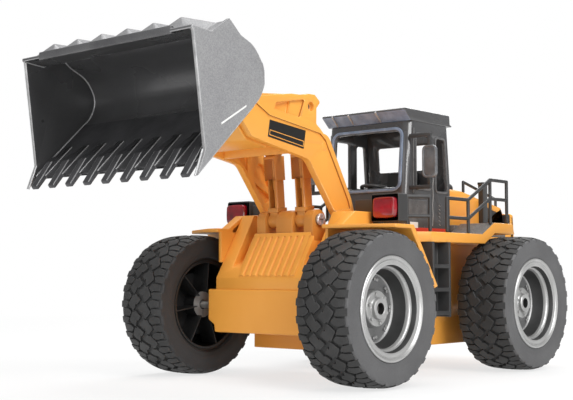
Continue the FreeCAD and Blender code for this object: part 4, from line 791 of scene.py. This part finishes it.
def makeWheelBack(centre, side):
    parts = [turned(wheelBack["ring"], centre, wheelBack["steps"], side)]
    inner, outer, half = wheelBack["rib"]
    deep, near = wheelBack["depth"]
    for i in range(wheelBack["ribs"]):
        turn = math.radians(i * 360 / wheelBack["ribs"] + wheelBack["start"])
        middle = centre + Vector((0, (deep + near) / 2 * side, 0)) * mm
        bpy.ops.mesh.primitive_cube_add(size=1, location=middle)
        rib = bpy.context.object
        rib.scale = ((outer - inner) * mm, (near - deep) * mm, 2 * half * mm)
        bpy.ops.object.transform_apply(location=False, rotation=False, scale=True)
        openEdit()
        selectWhere(rib, "faces", lambda face: face.normal.y * side < -0.9)
        bpy.ops.transform.resize(value=(1, 1, wheelBack["taper"]))
        bpy.ops.mesh.select_all(action="SELECT")
        bpy.ops.transform.translate(value=((inner + outer) / 2 * mm, 0, 0))
        leaveEdit()
        rib.rotation_euler = (0, turn, 0)
        applyPlace()
        parts.append(rib)
    back = join(parts)
    softEdges(back, wheelBack["soft"], angle=40)
    smooth(back)
    return back


for (end, sideName), (centre, side) in wheelPlaces.items():
    rim = makeRim(centre, side)
    name, node = end + sideName.capitalize(), end + "_rim_" + sideName
    settle(rim, name + "Rim", node, "rimSilver", standsFor=True)
    back = makeWheelBack(centre, side)
    settle(back, name + "WheelBack", node, "darkWheelBack")
print("rims made")


# shells with softened edges
shellEdges = {  # width of the softened edges
    "front_chassis": 0.4, "bumper_shell": 0.5, "front_hood": 0.35, "front_fender_left": 0.35,
    "front_fender_right": 0.35, "lamp_bar": 0.3, "cylinder_bracket": 0.3, "lift_arm_left": 0.4,
    "lift_arm_right": 0.4, "arm_bridge": 0.3, "lift_barrel_left": 0.25, "lift_barrel_right": 0.25,
    "lift_rod_left": 0.2, "lift_rod_right": 0.2, "tilt_rocker": 0.3, "tilt_link": 0.3, "rear_chassis": 0.4,
    "deck_plate": 0.4, "hood_plinth": 0.3, "engine_hood": 0.4, "side_grilles": 0.2, "counterweight": 0.4,
    "exhaust_stack": 0.3, "cab_shell": 0.4, "cab_roof": 0.35, "driver_seat": 0.5, "hood_vent": 0.4,
    "ladder_left": 0.25, "ladder_right": 0.25, "handrails_left": 0.12, "handrails_right": 0.12,
    "steering_wheel": 0.12}
shellPaints = {"yellow_body": "yellowShell", "yellow_metal": "yellowCastArm"}
# the cylinders and their bracket get a darker yellow: partly their own ochre tone, partly painted shade under the
# arms
nodePaints = {"cab_shell": "blackCabPlastic", "cab_roof": "blackCabPlastic", "hood_plinth": "speckledPlinth",
              "cylinder_bracket": "yellowCylinder", "lift_barrel_left": "yellowCylinder",
              "lift_barrel_right": "yellowCylinder", "lift_rod_left": "yellowCylinder",
              "lift_rod_right": "yellowCylinder"}
grooveSides = (23.66, 24.2)  # how far out the step of the arms lies
rampSizes = {"front": -44.0, "rear": -57.0}
for node, width in shellEdges.items():
    paintName = nodePaints.get(node, shellPaints.get(slotOf[node], "blackTrim"))
    skin = skinned(node, paintName, width)
    if node.startswith("lift_arm"):  # the step down to the sunk face, painted a darker yellow as a painted shadow line
        paintFaces(skin, "yellowGroove", lambda face: abs(face.normal.y) < 0.8
                   and grooveSides[0] < abs(face.center.y) / mm < grooveSides[1])
    if node == "cab_roof":  # the sloping face over the windscreen is painted a light bluish grey as a painted highlight
        paintFaces(skin, "roofFront", lambda face: face.normal.x > 0.4 and face.normal.z < -0.4)
    if node == "deck_plate":  # the two ramps have an anti-slip face
        paintFaces(skin, "speckledPlinth", lambda face: face.normal.z > 0.5 and face.normal.x > 0.2
                   and rampSizes["rear"] < (face.center.x - midX) / mm < rampSizes["front"])
print("shells softened")


# bucket
bucketSizes = {  # places from the bucket's pivot
    "edge": 0.45, "wall": 51.9, "wallInside": 50, "insideFrom": 9.5, "middle": (38.0, -14.0),
    "lip": (50.2, 11.1), "tip": (46.7, -46.6), "ridgeLow": 1.4, "band": 42.0, "bandReach": 3, "rimFrom": 40,
    "toothPitch": 11.7, "toothHalf": 2.3, "toothTop": -24.0, "toothFrom": 28, "plainFrom": -31.0,
    "brightFrom": -30.0, "floorEdge": 7.4, "seam": 0.42,
    "strip": {"line": [(34.2, -25.6), (20.0, -17.1)], "half": 0.4, "face": (53.4, 53.8), "soft": 0.12}}


def bucketSpot(point):  # place from the bucket's pivot, in millimetres
    return (point.x - bucketPivot.x) / mm, point.y / mm, (point.z - bucketPivot.z) / mm


def makeBucket():
    bucket = fromSolid("bucket")
    wall = bucketSizes["wall"]
    middle = bucketPivot + Vector((bucketSizes["middle"][0], 0, bucketSizes["middle"][1])) * mm
    lip, tip = bucketSizes["lip"], bucketSizes["tip"]

    def facesIn(normal, spot):
        return normal.dot(Vector((spot.x - middle.x, 0, spot.z - middle.z))) < 0

    def seamEdge(edge):  # where a side wall meets the curved shell inside
        spot = edge.verts[0].co
        x, y, z = bucketSpot(spot)
        if len(edge.link_faces) != 2 or x < bucketSizes["insideFrom"] or abs(abs(y) - wall) > 0.4:
            return False
        first, second = sorted(edge.link_faces, key=lambda f: abs(f.normal.y))
        return abs(first.normal.y) < 0.3 and abs(second.normal.y) > 0.9 and facesIn(first.normal, spot)

    # a thin tube along the inside seams, painted the lighter outside grey as a painted highlight line
    pick(bucket)
    bpy.ops.object.duplicate()
    seam = bpy.context.object
    openEdit()
    bpy.ops.mesh.select_mode(type="EDGE")
    selectWhere(seam, "edges", seamEdge)
    bpy.ops.mesh.select_all(action="INVERT")
    bpy.ops.mesh.delete(type="EDGE")
    bpy.ops.mesh.select_mode(type="VERT")
    leaveEdit()
    bpy.ops.object.convert(target="CURVE")
    seam.data.bevel_depth = bucketSizes["seam"] * mm
    seam.data.bevel_resolution = 1
    bpy.ops.object.convert(target="MESH")

    softEdges(bucket, bucketSizes["edge"])
    smooth(bucket)
    bucket.data.materials.append(paints["bucketCast"])

    def inside(face):
        x, y, z = bucketSpot(face.center)
        if abs(y) > wall + 0.3 or x < bucketSizes["insideFrom"]:
            return False
        if abs(face.normal.y) > 0.9:
            return abs(y) < bucketSizes["wallInside"] or y * face.normal.y < 0
        return facesIn(face.normal, face.center) or z < tip[1] + bucketSizes["floorEdge"]

    # the upper ridges are painted darker than the cast outside, as painted shade against the light from above
    def ridges(face):
        return bucketSpot(face.center)[2] > lip[1] + bucketSizes["ridgeLow"]

    def lipBand(face):
        x, y, z = bucketSpot(face.center)
        reach = bucketSizes["bandReach"]
        near = abs(y) < bucketSizes["band"] and abs(z - lip[1]) < reach and x > lip[0] - reach
        return near and face.normal.x > 0.3

    def tooth(face):
        x, y, z = bucketSpot(face.center)
        fromTooth = abs(y - round(y / bucketSizes["toothPitch"]) * bucketSizes["toothPitch"])
        low = z < bucketSizes["toothTop"] and x > bucketSizes["toothFrom"]
        return low and fromTooth < bucketSizes["toothHalf"] and inside(face)

    def frontRim(face):  # the narrow front faces of the two side plates
        x, y, z = bucketSpot(face.center)
        return abs(y) > wall - 0.1 and face.normal.x > 0.5 and x > bucketSizes["rimFrom"] and z < lip[1] - 1

    def toothEdge(face):
        low = bucketSpot(face.center)[2] < bucketSizes["brightFrom"]
        return tooth(face) and low and 0.3 < abs(face.normal.y) < 0.92 and facesIn(face.normal, face.center)

    def floorEdge(face):
        z = bucketSpot(face.center)[2]
        lowEdge = inside(face) and not tooth(face) and z < tip[1] + bucketSizes["floorEdge"]
        return lowEdge or tooth(face) and z > bucketSizes["plainFrom"]

    paintFaces(bucket, "bucketInside", inside)
    paintFaces(bucket, "bucketRidge", ridges)
    paintFaces(bucket, "bucketLip", lipBand)
    paintFaces(bucket, "bucketTooth", tooth)
    paintFaces(bucket, "bucketEdge", lambda face: frontRim(face) or toothEdge(face))
    paintFaces(bucket, "bucketFloor", floorEdge)
    settle(bucket, "loaderBucket", "bucket", "bucketCast", standsFor=True)
    settle(seam, "bucketSeams", "bucket", "bucketCast")
    pivotX, pivotZ = (bucketPivot.x - midX) / mm, bucketPivot.z / mm
    look = bucketSizes["strip"]
    (x0, z0), (x1, z1) = [(pivotX + x, pivotZ + z) for x, z in look["line"]]
    half = look["half"]
    # a white strip over each side plate's slot, a painted highlight
    strip = plate([(x0, z0 - half), (x0, z0 + half), (x1, z1 + half), (x1, z1 - half)], "y", *look["face"])
    softEdges(strip, look["soft"])
    strips = join([strip, mirroredCopy(strip)])
    settle(strips, "bucketSideStrips", "bucket", "plainSticker")


makeBucket()
print("bucket made")


# cab fittings
cabSizes = {
    "front": -8.15, "side": 27.0, "sunk": 0.2, "sunkLip": 0.3,
    "lean": (91.0, 3.5 / 38.6), "rearLean": (99.4, 2.7 / 30.2),  # foot of the slope, and its steepness
    "screen": {"half": 23.4, "low": 92.8, "high": 126.6, "width": 1.5, "corner": 5.0, "proud": 0.9,
               "soft": 0.3},
    "backWindow": {"half": 20.2, "low": 105.8, "high": 121.7, "width": 1.0, "corner": 2.4, "proud": 0.5,
                   "soft": 0.15},
    "sideWindows": {"width": 1.0, "corner": 2.4, "proud": 0.5, "soft": 0.18, "points": [
        [(-30.7, 93.8), (-16.0, 93.8), (-16.0, 123.8), (-30.7, 123.8)],
        [(-46.9, 93.0), (-34.4, 93.0), (-34.4, 122.9), (-44.4, 122.9)]]},
    "doorEdge": {"line": [(-13.9, 92.0), (-14.8, 126.0)], "half": 0.45, "proud": 0.45},
    "roofRibs": {"places": (-20.0, -9.1, 8.8), "half": 0.45, "from": (-11.5, 130.2), "to": (-6.1, 134.9),
                 "proud": 0.55, "soft": 0.25}}
markSizes = {  # printed and pressed marks on the cab's sides
    "sunk": 0.1, "stripe": {"box": (-46.3, -12.9, 72.0, 74.2), "proud": 0.12},
    "sticker": {"box": (-18.2, -11.1, 73.9, 77.0), "proud": 0.16, "soft": 0.08},
    "panel": {"box": (-26.2, -9.6, 80.2, 88.6), "proud": 0.35, "soft": 0.2},
    "seam": {"half": 0.22, "proud": 0.22, "line": [
        (-32.9, 100.9), (-32.2, 96.0), (-32.7, 91.5), (-31.9, 86.5), (-32.3, 81.0), (-31.7, 75.4)]},
    "slits": {"count": 6, "low": 75.9, "pitch": 2.0, "rear": -39.3, "thick": 0.5, "length": 1.1, "rise": 0.8,
              "proud": 0.2}}


def leanBack(piece, foot, slope):  # tips a piece with the cab's front or back wall
    for vertex in piece.data.vertices:
        rise = vertex.co.z / mm - foot
        vertex.co.x += max(0, rise) * slope * mm


def band(points, half):  # thin closed outline along a line of (x, z) points
    lower = [(x - half, z) for x, z in points]
    upper = [(x + half, z) for x, z in reversed(points)]
    return lower + upper


def windowLip(look, low, high):  # frame of an upright window across the cab
    half = look["half"]
    corners = [(-half, look["low"]), (half, look["low"]), (half, look["high"]), (-half, look["high"])]
    return ring(corners, "x", low, high, look["width"], look["corner"])


def makeRoofRibs():
    look = cabSizes["roofRibs"]
    (x0, z0), (x1, z1) = look["from"], look["to"]
    run = math.hypot(x1 - x0, z1 - z0)
    outX, outZ = (z1 - z0) / run * look["proud"], -(x1 - x0) / run * look["proud"]
    outline = [(x0 - outX, z0 - outZ), (x1 - outX, z1 - outZ), (x1 + outX, z1 + outZ), (x0 + outX, z0 + outZ)]
    ribs = join([plate(outline, "y", y - look["half"], y + look["half"]) for y in look["places"]])
    softEdges(ribs, look["soft"])
    return ribs


def makeCabTrim():
    side, front, sunk = cabSizes["side"], cabSizes["front"], cabSizes["sunk"]
    window, door = cabSizes["sideWindows"], cabSizes["doorEdge"]
    frames = [ring(points, "y", side - sunk, side + window["proud"], window["width"], window["corner"])
              for points in window["points"]]
    frames.append(plate(band(door["line"], door["half"]), "y", side - sunk, side + door["proud"]))
    oneSide = join(frames)
    softEdges(oneSide, window["soft"])
    otherSide = mirroredCopy(oneSide)
    screen, back = cabSizes["screen"], cabSizes["backWindow"]
    sunkLip = cabSizes["sunkLip"]
    lip = windowLip(screen, front - sunkLip, front + screen["proud"])
    leanBack(lip, cabSizes["lean"][0], -cabSizes["lean"][1])
    softEdges(lip, screen["soft"])
    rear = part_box("cab_shell")[0].x / mm - midX / mm
    rearLip = windowLip(back, rear - back["proud"], rear + sunkLip)
    leanBack(rearLip, *cabSizes["rearLean"])
    softEdges(rearLip, back["soft"])
    roofRibs = makeRoofRibs()
    # painted highlights on the black cab: lighter grey on the side window frames and door edge, light bluish grey
    # on the windscreen lip, silver on the roof ribs
    for piece, finish in ((oneSide, "cabPanel"), (otherSide, "cabPanel"), (lip, "roofFront"),
                          (rearLip, "blackCabPlastic"), (roofRibs, "rimSilver")):
        piece.data.materials.append(paints[finish])
    trim = join([oneSide, otherSide, lip, rearLip, roofRibs])
    smooth(trim)
    settle(trim, "cabWindowFrames", "cab_shell", "blackCabPlastic")


def sidePatch(look):  # thin raised rectangle on the cab's left wall
    x0, x1, z0, z1 = look["box"]
    side = cabSizes["side"]
    return block((x0, side - markSizes["sunk"], z0), (x1, side + look["proud"], z1))


def makeCabMarks():  # stripe, bare sticker, door panels, and the louvre slits and the plastic's own raised seam painted silver as painted highlights
    stripe = sidePatch(markSizes["stripe"])
    stripe = join([stripe, mirroredCopy(stripe)])
    settle(stripe, "cabStripe", "cab_shell", "redStripe")
    sticker = sidePatch(markSizes["sticker"])
    softEdges(sticker, markSizes["sticker"]["soft"], 1)
    settle(sticker, "bareSticker", "cab_shell", "plainSticker")
    panel = sidePatch(markSizes["panel"])
    softEdges(panel, markSizes["panel"]["soft"])
    panels = join([panel, mirroredCopy(panel)])
    settle(panels, "lowerDoorPanels", "cab_shell", "cabPanel")
    side, seam, look = cabSizes["side"], markSizes["seam"], markSizes["slits"]
    inner = side - markSizes["sunk"]
    marks = [plate(band(seam["line"], seam["half"]), "y", inner, side + seam["proud"])]
    rear, front = look["rear"], look["rear"] + look["thick"]
    for i in range(look["count"]):
        z0 = look["low"] + i * look["pitch"]
        z1 = z0 + look["rise"]
        slit = [(rear, z0), (front, z0), (front + look["length"], z1), (rear + look["length"], z1)]
        marks.append(plate(slit, "y", inner, side + look["proud"]))
    marks = join(marks)
    marks = join([marks, mirroredCopy(marks)])
    # the slits and seam are painted silver as painted highlights
    settle(marks, "cabSlits", "cab_shell", "rimSilver")


makeCabTrim()
makeCabMarks()
print("cab trimmed")


# mirrors
mirrorSizes = {"x": -12.1, "glass": (34.6, 42.8, 99.2, 115.8), "rim": 0.9, "corner": 2.6, "half": 1.1,
               "face": {"inset": 0.6, "corner": 1.4, "half": 0.6}, "stalkY": 38.6, "stalk": 1.0, "sunk": 1,
               "arm": (26.5, 121.3), "foot": (26.5, 94.6), "soft": 0.3}


def makeMirror():
    x, half, thick, sunk = (mirrorSizes[key] for key in ("x", "half", "stalk", "sunk"))
    y0, y1, z0, z1 = mirrorSizes["glass"]
    shell = ring([(y0, z0), (y1, z0), (y1, z1), (y0, z1)], "x", x - half, x + half, mirrorSizes["rim"],
                 mirrorSizes["corner"])
    look = mirrorSizes["face"]
    a, b = look["inset"], look["corner"]
    face = plate([(y0 + a, z0 + b), (y0 + b, z0 + a), (y1 - b, z0 + a), (y1 - a, z0 + b),
                  (y1 - a, z1 - b), (y1 - b, z1 - a), (y0 + b, z1 - a), (y0 + a, z1 - b)],
                 "x", x - look["half"], x + look["half"])
    (armY, armZ), (footY, footZ) = mirrorSizes["arm"], mirrorSizes["foot"]
    near, far = mirrorSizes["stalkY"] - thick, mirrorSizes["stalkY"] + thick
    bars = [(armY, armZ - thick, armZ + thick), (near, z1 - sunk, armZ - thick),
            (near, footZ + thick, z0 + sunk), (footY, footZ - thick, footZ + thick)]
    bars = join([block((x - thick, start, low), (x + thick, far, high)) for start, low, high in bars])
    bars.data.materials.append(paints["blackTrim"])
    head = join([shell, face])
    head.data.materials.append(paints["mirrorGrey"])
    mirror = join([head, bars])
    softEdges(mirror, mirrorSizes["soft"], angle=40)
    return mirror


mirror = makeMirror()
mirrors = join([mirror, mirroredCopy(mirror)])
smooth(mirrors)
settle(mirrors, "sideMirrors", "mirrors", "blackCabPlastic", standsFor=True)
print("mirrors made")


# lamps
lampSizes = {"frame": 0.85, "wider": 3.1, "corner": 0.13, "bulge": 0.18, "cuts": 7, "depth": 3.8,
             "proud": 0.3, "smooth": 60}


def makeLenses():  # pillowed lenses, the black lamp box shows all round them
    low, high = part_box("lamp_lenses")
    outer, face = high.y / mm, (high.x - midX) / mm
    bottom, top = low.z / mm, high.z / mm
    width, frameWidth, depth = top - bottom + lampSizes["wider"], lampSizes["frame"], lampSizes["depth"]
    bpy.ops.mesh.primitive_cube_add(size=1, location=(0, 0, 0))
    lens = bpy.context.object
    openEdit()
    bpy.ops.mesh.bevel(offset=lampSizes["corner"], segments=6, affect="EDGES")
    bpy.ops.mesh.select_all(action="SELECT")
    bpy.ops.mesh.subdivide(number_cuts=lampSizes["cuts"])
    bpy.ops.transform.tosphere(value=lampSizes["bulge"])
    leaveEdit()
    edge = max(v.co.x for v in lens.data.vertices)
    sides = (depth, width - 2 * frameWidth, top - bottom - 2 * frameWidth)
    lens.scale = [length * mm / edge / 2 for length in sides]
    lens.location = at(face - depth / 2 + lampSizes["proud"], outer - width / 2 + frameWidth,
                       (top + bottom) / 2)
    applyPlace()
    lenses = join([lens, mirroredCopy(lens)])
    smooth(lenses, lampSizes["smooth"])
    settle(lenses, "redLampLenses", "lamp_lenses", "redLens", standsFor=True)


makeLenses()
print("lamps made")


# arm plates, pin caps and screw
labelSizes = {
    "corners": [(68.7, 116.6), (70.2, 108.0), (94.9, 111.5), (93.6, 119.2)], "face": 23.7, "thick": 0.3,
    "line": 0.32, "box": (0.1, 0.42), "inset": 0.5, "corner": 0.2, "sunk": (0.1, 0.05), "proud": 0.08,
    "soft": 0.08}
screwSizes = {"x": 51.5, "z": 76.1, "radius": 2.9, "low": 1.0, "high": 0.4, "cross": (0.42, 1.9), "deep": 0.8,
              "soft": 0.5, "sides": 40}
capSizes = {"x": 54.5, "z": 110.5, "radius": 2.2, "from": 23.3, "to": 23.85, "soft": 0.2, "sides": 36}


def lowerBox(corners):  # outline of the plate's lower part: top rear, bottom rear, bottom front, top front
    topRear, lowRear, lowFront, topFront = [Vector(point) for point in corners]
    share0, share1 = labelSizes["box"]
    edge = labelSizes["inset"]
    box = [lowRear.lerp(topRear, share1), lowRear.lerp(topRear, share0), lowFront.lerp(topFront, share0),
           lowFront.lerp(topFront, share1)]
    return [(spot.x + (edge if index < 2 else -edge), spot.y) for index, spot in enumerate(box)]


def makeLabels():
    face, top = labelSizes["face"], labelSizes["face"] + labelSizes["thick"]
    sheetSunk, lineSunk = labelSizes["sunk"]
    sheet = plate(labelSizes["corners"], "y", face - sheetSunk, top)
    softEdges(sheet, labelSizes["soft"], 1)
    sheet.data.materials.append(paints["darkPlate"])
    line = ring(lowerBox(labelSizes["corners"]), "y", top - lineSunk, top + labelSizes["proud"],
                labelSizes["line"], labelSizes["corner"])
    line.data.materials.append(paints["yellowShell"])
    label = join([sheet, line])
    twin = mirroredCopy(label)
    settle(label, "barePlateLeft", "lift_arm_left", "darkPlate")
    settle(twin, "barePlateRight", "lift_arm_right", "darkPlate")


def makeScrew():
    x, z = screwSizes["x"], screwSizes["z"]
    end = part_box("cylinder_pin")[1].y / mm
    top = end + screwSizes["high"]
    head = rod((x, end - screwSizes["low"], z), (x, top, z), screwSizes["radius"], screwSizes["sides"])
    softEdges(head, screwSizes["soft"], 4)
    wide, long = screwSizes["cross"]
    floor = top - screwSizes["deep"]
    carve(head, [block((x - wide, floor, z - long), (x + wide, top + 1, z + long)),
                 block((x - long, floor, z - wide), (x + long, top + 1, z + wide))])
    smooth(head)
    settle(head, "tubeScrew", "cylinder_pin", "chromeHead")


def makePinCaps():  # plain covers over the ends of the cylinder head pin
    x, z = capSizes["x"], capSizes["z"]
    cap = rod((x, capSizes["from"], z), (x, capSizes["to"], z), capSizes["radius"], capSizes["sides"])
    softEdges(cap, capSizes["soft"])
    caps = join([cap, mirroredCopy(cap)])
    smooth(caps)
    settle(caps, "armPinCaps", "lift_arm_left", "yellowCastArm")


makePinCaps()
makeLabels()
makeScrew()
print("plates and screw made")
